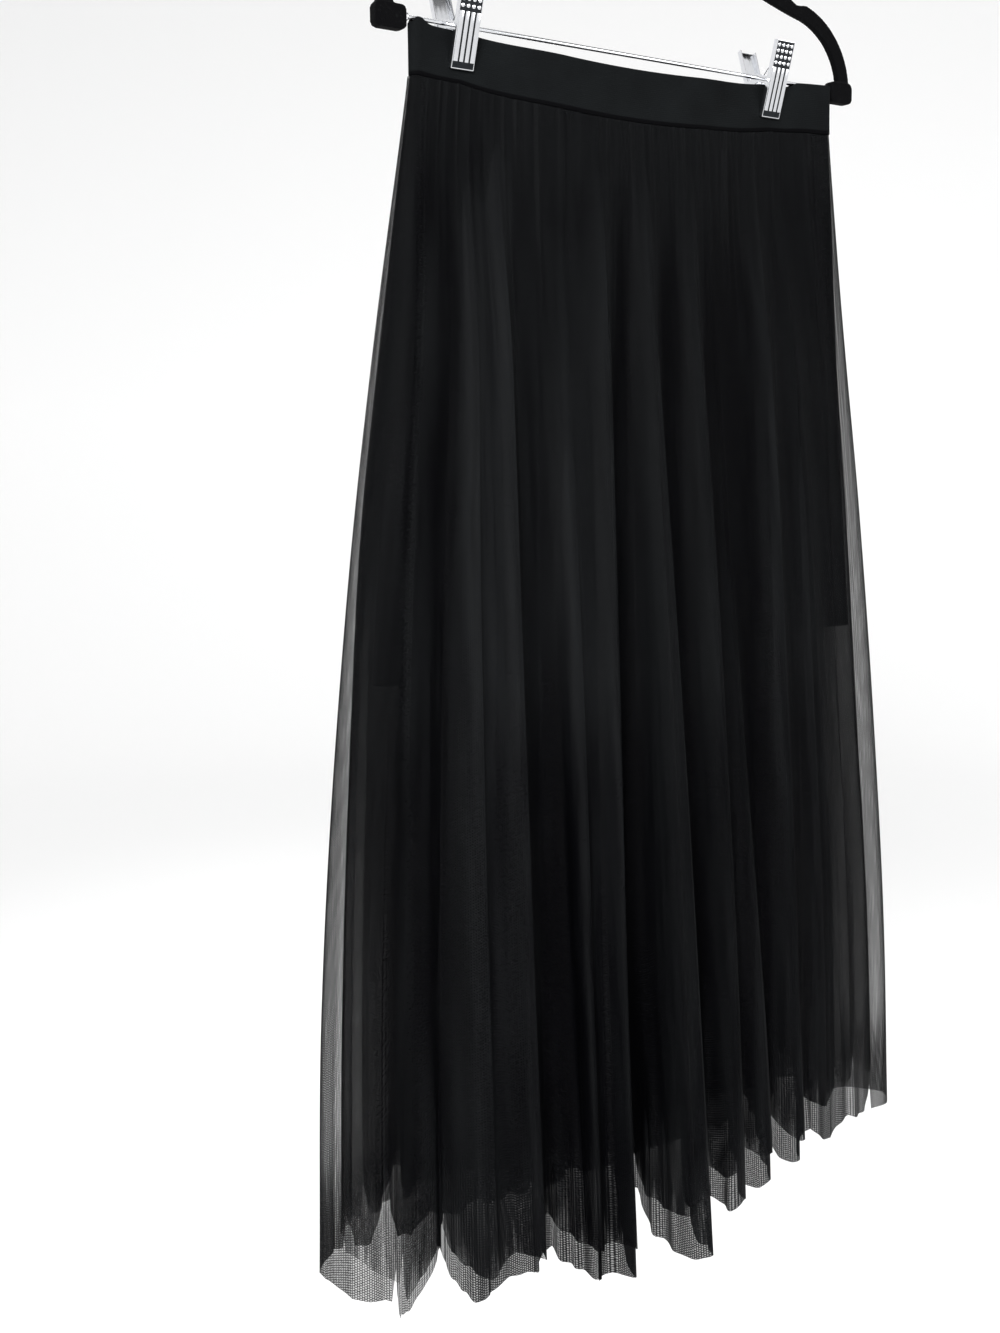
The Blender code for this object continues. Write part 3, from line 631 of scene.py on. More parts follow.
def crease_depths(drops):
    """How far the gathers, creases and hem flutes push the net out of its large folds."""
    share = drops[:, None] / OUTER_HEM
    hem_at, waist_at = round_hem[:-1], round_waist[:-1]
    gathers = bumps(waist_at, gather_at, gather_width, round_waist[-1])
    fading = gather_depth * np.exp(-((drops[:, None] / gather_fade) ** 1.3))
    pushed = fading @ gathers
    flutes = bumps(hem_at, spike_at, spike_width, round_hem[-1])
    pushed += (spike_depth * ease(0, 1, (share - spike_start) / (1 - spike_start))) @ flutes
    for i in range(CREASES):
        centre = crease_at[i] + crease_slant[i] * (1 - share)
        away = hem_at[None, :] - centre
        away = (away + round_hem[-1] / 2) % round_hem[-1] - round_hem[-1] / 2
        grown = crease_depth[i] * share * ease(crease_start[i], crease_start[i] + 0.4, share)
        pushed += grown * np.exp(-((away / crease_width[i]) ** 2))
    return pushed


def net_rows(drops, layer, creases, ragged):
    """The points of a net layer, its plan pushed out by its creases and hung below the band, and
    two values at each: how near a fold's top it is, which sets the painted light and shade, and how
    many layers of net lie there."""
    plan, crest = np.split(net_plan(drops, layer), [2], axis=2)
    x = plan[..., 0]
    plan = plan + outward(plan) * creases[..., None]
    plan[..., 0] += along(SHIFTS, drops)[0]
    drawn_in = ease(0.0, 0.3, drops) * (1 - RIGHT_EASED * ease(0.38, 0.7, drops))
    plan[..., 0] -= layer["right_in"] * ease(0.10, 0.23, x) * drawn_in[:, None]
    share = drops[:, None] / drops[-1]
    lobes = hem_lobes + layer["lower"]
    for at, lower, wide in layer["hem_offsets"]:
        near = np.exp(-(((hem_plan[:, 0] - at) / wide) ** 2))
        lobes = lobes + lower * near * (hem_plan[:, 1] < 0)
    hem = ragged * ease(0.9, 1.0, share) + lobes * ease(0.6, 1.0, share)
    z = band_bottom(x) - drops[:, None] - hem
    side = ease(layer["single_from"], layer["single_to"], abs(x + layer["single_shift"]))
    values = {
        "crest": (crest[..., 0] + CREASE_SHOWS * creases).clip(0, 1),
        "layers": layer["layers"] + (1 - layer["layers"]) * side,
    }
    return np.dstack([plan, z]), values


def ragged_edge(count, length):
    """How far a hand-cut edge wanders from level, round a closed hem."""
    at = np.linspace(0, 2 * math.pi, count, endpoint=False)
    edge = np.zeros(count)
    for wavelength, size in ((0.24, 0.0016), (0.09, 0.0012), (0.035, 0.0009), (0.014, 0.0005)):
        waves = round(length / wavelength)
        for extra in range(3):
            phase = rng.uniform(0, 2 * math.pi)
            edge += size / 1.7 * np.sin(at * (waves + 2 * extra) + phase)
    return edge


# Nylon net: hard-twisted thread in six-sided holes, so each thread has a slight gloss and the holes
# show what lies behind. Seen along the cloth the threads close up, so it covers more there. Its
# colour has painted light and shade: lighter on the folds' tops, darker in their valleys and below
# the slip.
def net_material(name, cover_share):
    """Six-sided net whose threads and holes cover the given shares of what lies behind."""
    made, tree = new_material(name)
    place = add_node(tree, "UVMap", {"uv_map": "cloth"})
    wave_number = 4 * math.pi / (math.sqrt(3) * NET_HOLE)
    total = None
    for degrees in (0, 120, 240):
        direction = (
            wave_number * math.cos(math.radians(degrees)),
            wave_number * math.sin(math.radians(degrees)),
            0.0,
        )
        phase = add_node(
            tree, "VectorMath", {"operation": "DOT_PRODUCT"}, {0: place.outputs["UV"], 1: direction}
        )
        wave = add_node(tree, "Math", {"operation": "COSINE"}, {0: phase.outputs["Value"]})
        if total:
            wave = add_node(
                tree, "Math", {"operation": "ADD"}, {0: wave.outputs[0], 1: total.outputs[0]}
            )
        total = wave
    cover = add_node(
        tree,
        "MapRange",
        {"interpolation_type": "SMOOTHSTEP"},
        {
            "Value": total.outputs[0],
            "From Min": -0.6,
            "From Max": 1.1,
            "To Min": cover_share["thread"],
            "To Max": cover_share["hole"],
        },
    )
    long_way = add_node(
        tree,
        "VectorMath",
        {"operation": "MULTIPLY"},
        {0: place.outputs["UV"], 1: (150.0, 9.0, 1.0)},
    )
    strand = add_node(
        tree, "TexNoise", {}, {"Vector": long_way.outputs[0], "Scale": 1.0, "Detail": 3.0}
    )
    down = add_node(tree, "SeparateXYZ", {}, {0: place.outputs["UV"]})
    reached = add_node(
        tree,
        "Math",
        {"operation": "MULTIPLY_ADD"},
        {0: strand.outputs["Fac"], 1: 2 * HALF_STRAND, 2: down.outputs["Y"]},
    )
    thinned = add_node(
        tree,
        "MapRange",
        {"interpolation_type": "SMOOTHSTEP"},
        {
            "Value": reached.outputs[0],
            "From Min": cover_share["thin_from"] + HALF_STRAND,
            "From Max": cover_share["thin_to"] + HALF_STRAND,
            "To Min": 1.0,
            "To Max": cover_share["left"],
        },
    )
    grain = add_node(tree, "TexNoise", {}, {"Vector": place.outputs["UV"], "Scale": 520.0})
    uneven = add_node(
        tree,
        "MapRange",
        {},
        {
            "Value": grain.outputs["Fac"],
            "From Min": 0.3,
            "From Max": 0.7,
            "To Min": 0.78,
            "To Max": 1.18,
        },
    )
    covered = add_node(
        tree,
        "Math",
        {"operation": "MULTIPLY", "use_clamp": True},
        {0: cover.outputs[0], 1: uneven.outputs[0]},
    )
    folded = add_node(tree, "Attribute", {"attribute_name": "layers"})
    layers = add_node(
        tree, "Math", {"operation": "MULTIPLY"}, {0: folded.outputs["Fac"], 1: thinned.outputs[0]}
    )
    facing = add_node(tree, "LayerWeight", {}, {"Blend": 0.5})
    square_on = add_node(
        tree, "Math", {"operation": "SUBTRACT"}, {0: 1.0, 1: facing.outputs["Facing"]}
    )
    slant = add_node(tree, "Math", {"operation": "MAXIMUM"}, {0: square_on.outputs[0], 1: 0.10})
    thickness = add_node(
        tree, "Math", {"operation": "DIVIDE"}, {0: layers.outputs[0], 1: slant.outputs[0]}
    )
    open_share = add_node(tree, "Math", {"operation": "SUBTRACT"}, {0: 1.0, 1: covered.outputs[0]})
    seen_through = add_node(
        tree, "Math", {"operation": "POWER"}, {0: open_share.outputs[0], 1: thickness.outputs[0]}
    )
    opacity = add_node(
        tree, "Math", {"operation": "SUBTRACT"}, {0: 1.0, 1: seen_through.outputs[0]}
    )
    # Painted light and shade: the crest value lightens the colour on the folds' tops and darkens it
    # in the valleys, and creases that stand out or sink in add to it.
    fold = add_node(tree, "Attribute", {"attribute_name": "crest"})
    # Painted shade: below the slip's hem the net's colour is drawn darker.
    unbacked_shade = add_node(
        tree,
        "MapRange",
        {"interpolation_type": "SMOOTHSTEP"},
        {"Value": down.outputs["Y"], "From Min": UNBACKED[0], "From Max": UNBACKED[1]},
    )
    lit = fold.outputs["Fac"]
    for part, source in (
        ("strand", strand.outputs["Fac"]),
        ("grain", grain.outputs["Fac"]),
        ("hole", total.outputs[0]),
        ("unbacked_shade", unbacked_shade.outputs[0]),
    ):
        summed = {0: source, 1: NET_TONE[part], 2: lit}
        lit = add_node(tree, "Math", {"operation": "MULTIPLY_ADD"}, summed).outputs[0]
    depth = add_node(
        tree, "MapRange", {}, {"Value": lit, "From Min": TONE_VALLEY, "From Max": TONE_CREST}
    )
    shade = add_node(
        tree,
        "Mix",
        {"data_type": "RGBA"},
        {
            "Factor": depth.outputs[0],
            "A": linear(NET_LIGHT_AND_SHADE["valley"]),
            "B": linear(NET_LIGHT_AND_SHADE["crest"]),
        },
    )
    relief = add_node(
        tree,
        "Bump",
        {"invert": True},
        {"Height": total.outputs[0], "Strength": 0.25, "Distance": 0.0002},
    )
    finish_material(
        tree,
        {
            "Base Color": shade.outputs["Result"],
            "Roughness": 0.6,
            "Specular IOR Level": 0.03,
            "Alpha": opacity.outputs[0],
            "Normal": relief.outputs["Normal"],
        },
    )
    return made


net = net_material("nylon_net", OUTER_COVER)

drops = np.concatenate(
    [
        np.linspace(0.0003, 0.090, 13)[:-1],
        np.linspace(0.090, 0.780, 42)[:-1],
        np.linspace(0.780, OUTER_HEM, 8),
    ]
)
outer_edge = ragged_edge(len(hem_plan), round_hem[-1])
rows, values = net_rows(drops, outer_layer, crease_depths(drops), outer_edge)
outer_net = tube("outer_net", rows, round_hem, drops, net, values=values)
hand_over(outer_net, "tulle", "outer_tulle_front", "outer_tulle_back")

# ---------------------------------------------------------------- inner net
# The same net again, cut 40 mm shorter and a little narrower, gathered into the same seam. It nests
# in the outer layer's folds, with small creases of its own, and its raw hem shows through.

INNER_SECTIONS = (  # drop below the band, half width, end radius, half depth
    (0.0003, 0.1970, 0.0041, 0.0122),
    (0.050, 0.2030, 0.0075, 0.0158),
    (0.150, 0.2142, 0.0125, 0.0205),
    (0.300, 0.2350, 0.0190, 0.0262),
    (0.480, 0.2500, 0.0235, 0.0312),
    (0.660, 0.2620, 0.0265, 0.0345),
    (0.800, 0.2680, 0.0280, 0.0360),
)
INNER_HEM = INNER_SECTIONS[-1][0]
INNER_OFFSETS = (  # place along X at the front hem, how much lower it hangs, over what width
    (-0.245, 0.032, 0.045),
    (-0.185, 0.012, 0.012),
    (-0.100, 0.012, 0.050),
    (0.054, -0.010, 0.014),
    (0.094, -0.006, 0.014),
    (0.240, -0.008, 0.040),
)
INNER_COVER = {"thread": 0.66, "hole": 0.34, "thin_from": 0.782, "thin_to": 0.808, "left": 0.30}
inner_layer = {
    "sections": INNER_SECTIONS,
    "fold_share": 0.86,
    "pinch": PINCH + 0.0005,
    "ease_from": 0.155,
    "cap_columns": 16,
    "layers": 4.5,
    "single_from": 0.192,
    "single_to": 0.234,
    "single_shift": 0.016,
    "right_in": 0.009,
    "lower": 0.014,
    "hem_offsets": INNER_OFFSETS,
}
drops = np.concatenate(
    [
        np.linspace(0.0003, 0.090, 13)[:-1],
        np.linspace(0.090, 0.745, 40)[:-1],
        np.linspace(0.745, INNER_HEM, 8),
    ]
)
dense_net = net_material("close_nylon_net", INNER_COVER)
own_at = rng.uniform(0, round_hem[-1], 40)
own_width = rng.uniform(0.004, 0.012, 40)
own_depth = rng.uniform(0.001, 0.004, 40)
own_ridges = bumps(round_hem[:-1], own_at, own_width, round_hem[-1])
own = (own_depth * ease(0.15, 0.9, drops / INNER_HEM)[:, None]) @ own_ridges
inner_edge = ragged_edge(len(hem_plan), round_hem[-1])
rows, values = net_rows(drops, inner_layer, crease_depths(drops) - own, inner_edge)
inner_net = tube("inner_net", rows, round_hem, drops + 0.4 * NET_HOLE, dense_net, values=values)
hand_over(inner_net, "tulle", "inner_tulle_front", "inner_tulle_back")

# ---------------------------------------------------------------- hanger
# One flat plastic moulding, flocked all over with black velvet fibre: two arms that curve down
# from a thick neck boss, each with a shallow notch for a strap, and a knob that holds the rod.

ARM_THICK, ARM_HALF_WIDTH = 0.0050, 0.0061
SHOULDER_X, SHOULDER_RISE, SHOULDER_SLOPE = 0.168, 0.0565, 0.215
NECK_RISE = 0.126
ARM_FOOT_X = 0.2175
NOTCH_X, NOTCH_DEPTH, NOTCH_HALF = 0.162, 0.0034, 0.0085
KNOB_X, KNOB_WIDE, KNOB_TALL, KNOB_THICK = 0.2135, 0.0245, 0.0165, 0.0080
KNOB_BELOW, KNOB_CORNER = 0.0014, 0.0040
BOSS_WIDE, BOSS_TALL, BOSS_THICK, BOSS_CORNER = 0.0250, 0.0300, 0.0090, 0.007
FLOCK_VOXEL = 0.0008  # the flock's depth, which rounds every edge of the moulding
FLOCK = {"pile": "#050506", "lint": "#0e0f10"}

rod_low, rod_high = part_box("hanger_rod")
rod_z = (rod_low.z + rod_high.z) / 2
boss_z = rod_z + NECK_RISE + 0.002


def add_primitive(name, add, stretch=(1.0, 1.0, 1.0), **settings):
    """A new primitive of its own, stretched to its size and opened for editing."""
    bpy.ops.object.select_all(action="DESELECT")
    add(**settings)
    made = bpy.context.object
    made.name = made.data.name = name
    made.scale = stretch
    bpy.ops.object.transform_apply(location=True, rotation=True, scale=True)
    bpy.ops.object.mode_set(mode="EDIT")
    return made


def pick(kind, chosen):
    """Select the faces or edges of the open piece that chosen accepts, by middle and part."""
    bpy.ops.mesh.select_mode(type=kind)
    bpy.ops.mesh.select_all(action="DESELECT")
    shape = bmesh.from_edit_mesh(bpy.context.object.data)
    for part in shape.faces if kind == "FACE" else shape.edges:
        middle = sum((v.co for v in part.verts), Vector()) / len(part.verts)
        part.select_set(bool(chosen(middle, part)))
    shape.select_flush_mode()
    bmesh.update_edit_mesh(bpy.context.object.data)


def extrude(value):
    bpy.ops.mesh.extrude_region_move(TRANSFORM_OT_translate={"value": value})


def modify(piece, kind, **settings):
    """Add a modifier to the piece and apply it."""
    bpy.ops.object.select_all(action="DESELECT")
    piece.select_set(True)
    bpy.context.view_layer.objects.active = piece
    added = piece.modifiers.new(kind.lower(), kind)
    for name, value in settings.items():
        setattr(added, name, value)
    bpy.ops.object.modifier_apply(modifier=added.name)


def join(pieces):
    bpy.ops.object.select_all(action="DESELECT")
    for piece in pieces:
        piece.select_set(True)
    bpy.context.view_layer.objects.active = pieces[0]
    bpy.ops.object.join()


# Flock: upright nylon fibres half a millimetre long, which swallow nearly all light and leave a
# faint bloom at the edges and a few pale specks of lint. Its mottling is drawn 1 mm across.
flock, tree = new_material("velvet_flock")
place = add_node(tree, "TexCoord")
pile = add_node(
    tree, "TexNoise", {}, {"Vector": place.outputs["Object"], "Scale": 1000.0, "Detail": 3.0}
)
specks = add_node(tree, "TexNoise", {}, {"Vector": place.outputs["Object"], "Scale": 420.0})
lint = add_node(
    tree, "MapRange", {}, {"Value": specks.outputs["Fac"], "From Min": 0.60, "From Max": 0.76}
)
shade = add_node(
    tree,
    "Mix",
    {"data_type": "RGBA"},
    {"Factor": lint.outputs[0], "A": linear(FLOCK["pile"]), "B": linear(FLOCK["lint"])},
)
relief = add_node(
    tree, "Bump", {}, {"Height": pile.outputs["Fac"], "Strength": 0.6, "Distance": 0.0005}
)
finish_material(
    tree,
    {
        "Base Color": shade.outputs["Result"],
        "Roughness": 0.95,
        "Specular IOR Level": 0.04,
        "Sheen Weight": 0.02,
        "Sheen Roughness": 0.4,
        "Normal": relief.outputs["Normal"],
    },
)

arm_line = []
bend = (NECK_RISE - SHOULDER_RISE - SHOULDER_SLOPE * SHOULDER_X) / SHOULDER_X**2
for x in np.linspace(0, SHOULDER_X, 29):
    run = SHOULDER_X - x
    arm_line.append((x, SHOULDER_RISE + SHOULDER_SLOPE * run + bend * run * run))
shoulder_lean = math.atan(SHOULDER_SLOPE)
for angle in np.linspace(shoulder_lean, math.pi / 2, 19)[1:]:
    across = (math.sin(angle) - math.sin(shoulder_lean)) / (1 - math.sin(shoulder_lean))
    down = math.cos(angle) / math.cos(shoulder_lean)
    arm_line.append((SHOULDER_X + (ARM_FOOT_X - SHOULDER_X) * across, SHOULDER_RISE * down))

arms = add_primitive(
    "flocked_hanger",
    bpy.ops.mesh.primitive_plane_add,
    (2 * ARM_HALF_WIDTH, ARM_THICK, 1.0),
    size=1.0,
    location=(0, 0, rod_z + arm_line[0][1]),
    rotation=(0, math.pi / 2, 0),
)
centre, turned_to, tall = Vector((0, 0, rod_z + arm_line[0][1])), 0.0, 1.0
for i in range(1, len(arm_line)):
    before, after = arm_line[i - 1], arm_line[min(i + 1, len(arm_line) - 1)]
    slope = math.atan2(before[1] - after[1], after[0] - before[0])
    x, rise = arm_line[i]
    notch = NOTCH_DEPTH * max(0.0, 1 - ((x - NOTCH_X) / NOTCH_HALF) ** 2)
    new_centre = Vector((x, 0, rod_z + rise - notch / 2))
    new_tall = 1 - notch / (2 * ARM_HALF_WIDTH)
    extrude(new_centre - centre)
    bpy.ops.transform.rotate(value=turned_to - slope, orient_axis="Y", center_override=new_centre)
    bpy.ops.transform.resize(value=(1, 1, new_tall / tall), center_override=new_centre)
    centre, turned_to, tall = new_centre, slope, new_tall
pick("FACE", lambda middle, face: abs(middle.x) < 1e-6 and abs(face.normal.x) > 0.9)
bpy.ops.mesh.delete(type="ONLY_FACE")
bpy.ops.object.mode_set(mode="OBJECT")
modify(arms, "MIRROR", use_axis=(True, False, False), merge_threshold=0.0001)

knob = (KNOB_WIDE, KNOB_THICK, KNOB_TALL)
knob_z = rod_z - KNOB_BELOW
blocks = []
for name, size, at, corner in (
    ("knob_left", knob, (-KNOB_X, 0, knob_z), KNOB_CORNER),
    ("knob_right", knob, (KNOB_X, 0, knob_z), KNOB_CORNER),
    ("neck_boss", (BOSS_WIDE, BOSS_THICK, BOSS_TALL), (0, 0, boss_z), BOSS_CORNER),
):
    block = add_primitive(name, bpy.ops.mesh.primitive_cube_add, size, size=1.0, location=at)
    pick("EDGE", lambda middle, edge: abs(edge.verts[0].co.y - edge.verts[1].co.y) > 0.001)
    bpy.ops.mesh.bevel(offset=corner, segments=6)
    bpy.ops.object.mode_set(mode="OBJECT")
    blocks.append(block)
join([arms, *blocks])
modify(arms, "REMESH", mode="VOXEL", voxel_size=FLOCK_VOXEL)
modify(arms, "SMOOTH", factor=0.5, iterations=4)
arms.data.shade_smooth()
arms.data.materials.clear()
arms.data.materials.append(flock)
hand_over(arms, "flock", "hanger_body")

# ---------------------------------------------------------------- hook
# Round steel wire, bright plated, pressed into the neck: straight up, out to one side in two bends,
# and over the rail to a blunt tip.

HOOK_WIRE, HOOK_RADIUS, HOOK_SWAN_RADIUS = 0.0017, 0.0210, 0.0300
HOOK_SHANK_DEPTH, HOOK_END_DEG = 0.0150, 205.0
CHROME = {"bright": "#f5f6f9", "dull": "#e0e2e6"}
GLOSS = (0.08, 0.20)  # roughness where it is clean and where it is smudged

# Nickel-chrome plate: a mirror with a cool cast, dulled in patches by handling.
chrome, tree = new_material("chrome_plate")
place = add_node(tree, "TexCoord")
smudge = add_node(
    tree, "TexNoise", {}, {"Vector": place.outputs["Object"], "Scale": 90.0, "Detail": 4.0}
)
gloss = add_node(
    tree,
    "MapRange",
    {},
    {
        "Value": smudge.outputs["Fac"],
        "From Min": 0.35,
        "From Max": 0.7,
        "To Min": GLOSS[0],
        "To Max": GLOSS[1],
    },
)
shade = add_node(
    tree,
    "Mix",
    {"data_type": "RGBA"},
    {"Factor": smudge.outputs["Fac"], "A": linear(CHROME["bright"]), "B": linear(CHROME["dull"])},
)
finish_material(
    tree, {"Base Color": shade.outputs["Result"], "Metallic": 1.0, "Roughness": gloss.outputs[0]}
)

bow = HOOK_RADIUS + HOOK_WIRE
bow_z = -HOOK_RADIUS
swan = math.acos(1 - bow / (2 * HOOK_SWAN_RADIUS))
swan_low = bow_z - 2 * HOOK_SWAN_RADIUS * math.sin(swan)
foot = boss_z + BOSS_TALL / 2 - HOOK_SHANK_DEPTH
hook = add_primitive(
    "wire_hook",
    bpy.ops.mesh.primitive_circle_add,
    vertices=20,
    radius=HOOK_WIRE,
    fill_type="NGON",
    location=(0, 0, foot),
)
bpy.ops.mesh.select_all(action="SELECT")
extrude((0, 0, swan_low - foot))
for centre, degrees, steps in (
    ((HOOK_SWAN_RADIUS, 0, swan_low), -math.degrees(swan), 12),
    ((bow - HOOK_SWAN_RADIUS, 0, bow_z), math.degrees(swan), 12),
    ((0, 0, bow_z), HOOK_END_DEG, 60),
):
    bpy.ops.mesh.spin(steps=steps, angle=math.radians(degrees), center=centre, axis=(0, 1, 0))
bpy.ops.mesh.bevel(offset=HOOK_WIRE * 0.55, segments=4)
bpy.ops.mesh.select_all(action="SELECT")
bpy.ops.mesh.normals_make_consistent(inside=False)
bpy.ops.object.mode_set(mode="OBJECT")
bpy.ops.object.shade_smooth_by_angle(angle=math.radians(50))
hook.data.materials.append(chrome)
hand_over(hook, "chrome", "hanger_hook")

# ---------------------------------------------------------------- rod
# A straight plated wire between the knobs that the clips slide on, with a pressed collar against
# each knob.

ROD_RADIUS = 0.0016
COLLAR_RADIUS, COLLAR_LONG = 0.0030, 0.0024

rod = add_primitive(
    "clip_rod",
    bpy.ops.mesh.primitive_cylinder_add,
    vertices=32,
    radius=ROD_RADIUS,
    depth=2 * rod_high.x,
    location=(0, 0, rod_z),
    rotation=(0, math.pi / 2, 0),
)
pick("EDGE", lambda middle, edge: abs(middle.x) > rod_high.x - 1e-6)
bpy.ops.mesh.bevel(offset=0.0005, segments=3)
bpy.ops.object.mode_set(mode="OBJECT")
collars = []
for sign in (-1, 1):
    collar = add_primitive(
        f"collar_{sign}",
        bpy.ops.mesh.primitive_cylinder_add,
        vertices=32,
        radius=COLLAR_RADIUS,
        depth=COLLAR_LONG,
        location=(sign * (KNOB_X - KNOB_WIDE / 2 - COLLAR_LONG / 2 + 0.0002), 0, rod_z),
        rotation=(0, math.pi / 2, 0),
    )
    pick("FACE", lambda middle, face: len(face.verts) > 8)
    bpy.ops.mesh.bevel(offset=0.0007, segments=3)
    bpy.ops.object.mode_set(mode="OBJECT")
    collars.append(collar)
join([rod, *collars])
bpy.ops.object.shade_smooth_by_angle(angle=math.radians(50))
rod.data.materials.append(chrome)
hand_over(rod, "chrome", "hanger_rod")

# ---------------------------------------------------------------- clips
# Each clip is two channels pressed from 0.8 mm steel and plated, with four ribs and a field of
# pips for the thumb. They turn on the rod by ears on their sides, and the back one fits in the
# front one.

SHEET = 0.0008
CLIP_WIDE, CLIP_ABOVE, CLIP_BELOW = 0.0185, 0.0242, 0.0305
CLIP_JAW_OUT, CLIP_GRIP_OUT = 0.0062, 0.0234
CLIP_WALL_DEEP, EAR_HALF = 0.0040, 0.0028
RIB_PITCH, RIB_GROOVE, RIB_HIGH = 0.0044, 0.0014, 0.0006
RIBS_FROM, RIBS_TO = 0.0046, 0.0375  # up the lever from its jaw end
PIP_RADIUS, PIP_ROWS, PIP_TOP = 0.00155, 4, 0.0034
FACE_RIM = 0.0006
NARROWER = 1 - 2 * (SHEET + GAP) / CLIP_WIDE  # the back lever, which fits in the front one
RECESS_REFLECTION = ("#17191b", "#35383b")  # dark and light of the painted reflection


def grained_material(name, grain, colours, settings, relief_depth=0.0):
    """A material whose fine grain, of a given scale and detail, runs between two colours and
    roughens the surface if it is given a depth."""
    made, tree = new_material(name)
    place = add_node(tree, "TexCoord")
    vector = {"Vector": place.outputs["Object"], "Scale": grain[0], "Detail": grain[1]}
    noise = add_node(tree, "TexNoise", {}, vector)
    ends = {"A": linear(colours[0]), "B": linear(colours[1])}
    mixed = add_node(tree, "Mix", {"data_type": "RGBA"}, {"Factor": noise.outputs["Fac"], **ends})
    settings = {"Base Color": mixed.outputs["Result"], **settings}
    if relief_depth:
        height = {"Height": noise.outputs["Fac"], "Strength": 0.3, "Distance": relief_depth}
        settings["Normal"] = add_node(tree, "Bump", {}, height).outputs["Normal"]
    finish_material(tree, settings)
    return made


def copy_of(piece, name, placing):
    """A copy of the piece with its own mesh, moved or stretched into its place."""
    copy = piece.copy()
    copy.data = piece.data.copy()
    copy.name = copy.data.name = name
    copy.data.transform(placing)
    bpy.context.scene.collection.objects.link(copy)
    return copy


# Painted reflection: the pressed field is drawn in a smoky, streaked dark metal, far less of a
# mirror, for the dark surroundings that the flat chrome reflects.
recess_dark_reflection = grained_material(
    "recess_painted_reflection", (600.0, 3.0), RECESS_REFLECTION, {"Metallic": 1.0, "Roughness": 0.42}
)

lever_run, lever_rise = CLIP_GRIP_OUT - CLIP_JAW_OUT, CLIP_ABOVE + CLIP_BELOW
lever_long, lever_lean = math.hypot(lever_run, lever_rise), math.atan2(lever_run, lever_rise)
ear_up = CLIP_BELOW * math.cos(lever_lean) - CLIP_JAW_OUT * math.sin(lever_lean)
ear_in = CLIP_JAW_OUT * math.cos(lever_lean) + CLIP_BELOW * math.sin(lever_lean)
half_lever = CLIP_WIDE / 2
lever = add_primitive(
    "lever",
    bpy.ops.mesh.primitive_plane_add,
    (CLIP_WIDE, lever_long, 1.0),
    size=1.0,
    location=(0, 0, lever_long / 2),
    rotation=(math.pi / 2, 0, 0),
)
across = [-half_lever + FACE_RIM, half_lever - FACE_RIM]
for middle in (-RIB_PITCH, 0.0, RIB_PITCH):
    across += [middle - RIB_GROOVE / 2, middle + RIB_GROOVE / 2]
up = [FACE_RIM, RIBS_FROM, RIBS_TO, ear_up - EAR_HALF, ear_up + EAR_HALF, lever_long - FACE_RIM]
for at, normal in [((x, 0, 0), (1, 0, 0)) for x in across] + [((0, 0, z), (0, 0, 1)) for z in up]:
    bpy.ops.mesh.select_all(action="SELECT")
    bpy.ops.mesh.bisect(plane_co=at, plane_no=normal)
lever.data.materials.append(chrome)
lever.data.materials.append(recess_dark_reflection)


def on_rib(middle, face):
    groove = min(abs(middle.x - x) for x in (-RIB_PITCH, 0.0, RIB_PITCH)) < RIB_GROOVE / 2
    return not groove and abs(middle.x) < half_lever - FACE_RIM and RIBS_FROM < middle.z < RIBS_TO


def in_recess(middle, face):
    inside = abs(middle.x) < half_lever - FACE_RIM and FACE_RIM < middle.z < lever_long - FACE_RIM
    return inside and not on_rib(middle, face)


# The field round the ribs and pips takes the painted dark reflection.
pick("FACE", in_recess)
lever.active_material_index = 1
bpy.ops.object.material_slot_assign()
pick("FACE", on_rib)
extrude((0, -RIB_HIGH, 0))
bpy.ops.transform.resize(value=(1.0, 1.0, 0.985))
pick("EDGE", lambda middle, edge: abs(abs(middle.x) - half_lever) < 1e-6)
extrude((0, CLIP_WALL_DEEP, 0))
pick(
    "EDGE",
    lambda middle, edge: abs(abs(middle.x) - half_lever) < 1e-6
    and abs(middle.y - CLIP_WALL_DEEP) < 1e-6
    and abs(edge.verts[0].co.y - edge.verts[1].co.y) < 1e-6
    and abs(middle.z - ear_up) < EAR_HALF,
)
extrude((0, ear_in - CLIP_WALL_DEEP, 0))
for deeper, narrower in ((0.0016, 0.82), (0.0010, 0.55)):
    extrude((0, deeper, 0))
    bpy.ops.transform.resize(value=(1, 1, narrower), center_override=(0, 0, ear_up))
pick("EDGE", lambda middle, edge: abs(middle.z) < 1e-6 and abs(middle.y) < 1e-6)
extrude((0, 0.0014, 0))
bpy.ops.mesh.select_all(action="SELECT")
bpy.ops.mesh.normals_make_consistent(inside=False)
bpy.ops.object.mode_set(mode="OBJECT")
if sum(face.normal.y for face in lever.data.polygons if abs(face.center.y) < 1e-6) > 0:
    lever.data.flip_normals()
modify(
    lever,
    "SOLIDIFY",
    thickness=SHEET,
    offset=-1.0,
    use_even_offset=True,
    material_offset=-1,
    material_offset_rim=-1,
)
modify(lever, "BEVEL", width=0.00022, segments=2, limit_method="ANGLE", angle_limit=0.6)

pips = add_primitive(
    "pips",
    bpy.ops.mesh.primitive_uv_sphere_add,
    (1.0, 0.5, 1.0),
    segments=16,
    ring_count=8,
    radius=PIP_RADIUS,
    location=(-1.5 * RIB_PITCH, 0, lever_long - PIP_TOP - (PIP_ROWS - 1) * RIB_PITCH),
)
pick("FACE", lambda middle, face: middle.y > 0.0001)
bpy.ops.mesh.delete(type="FACE")
bpy.ops.object.mode_set(mode="OBJECT")
for step in ((RIB_PITCH, 0, 0), (0, 0, RIB_PITCH)):
    modify(
        pips,
        "ARRAY",
        count=4,
        use_relative_offset=False,
        use_constant_offset=True,
        constant_offset_displace=step,
    )
pips.data.materials.append(chrome)
join([lever, pips])
lever.rotation_euler = (lever_lean, 0, 0)
lever.location = (0, -CLIP_JAW_OUT, rod_z - CLIP_BELOW)
bpy.ops.object.transform_apply(location=True, rotation=True, scale=True)
bpy.ops.object.shade_smooth_by_angle(angle=math.radians(35))

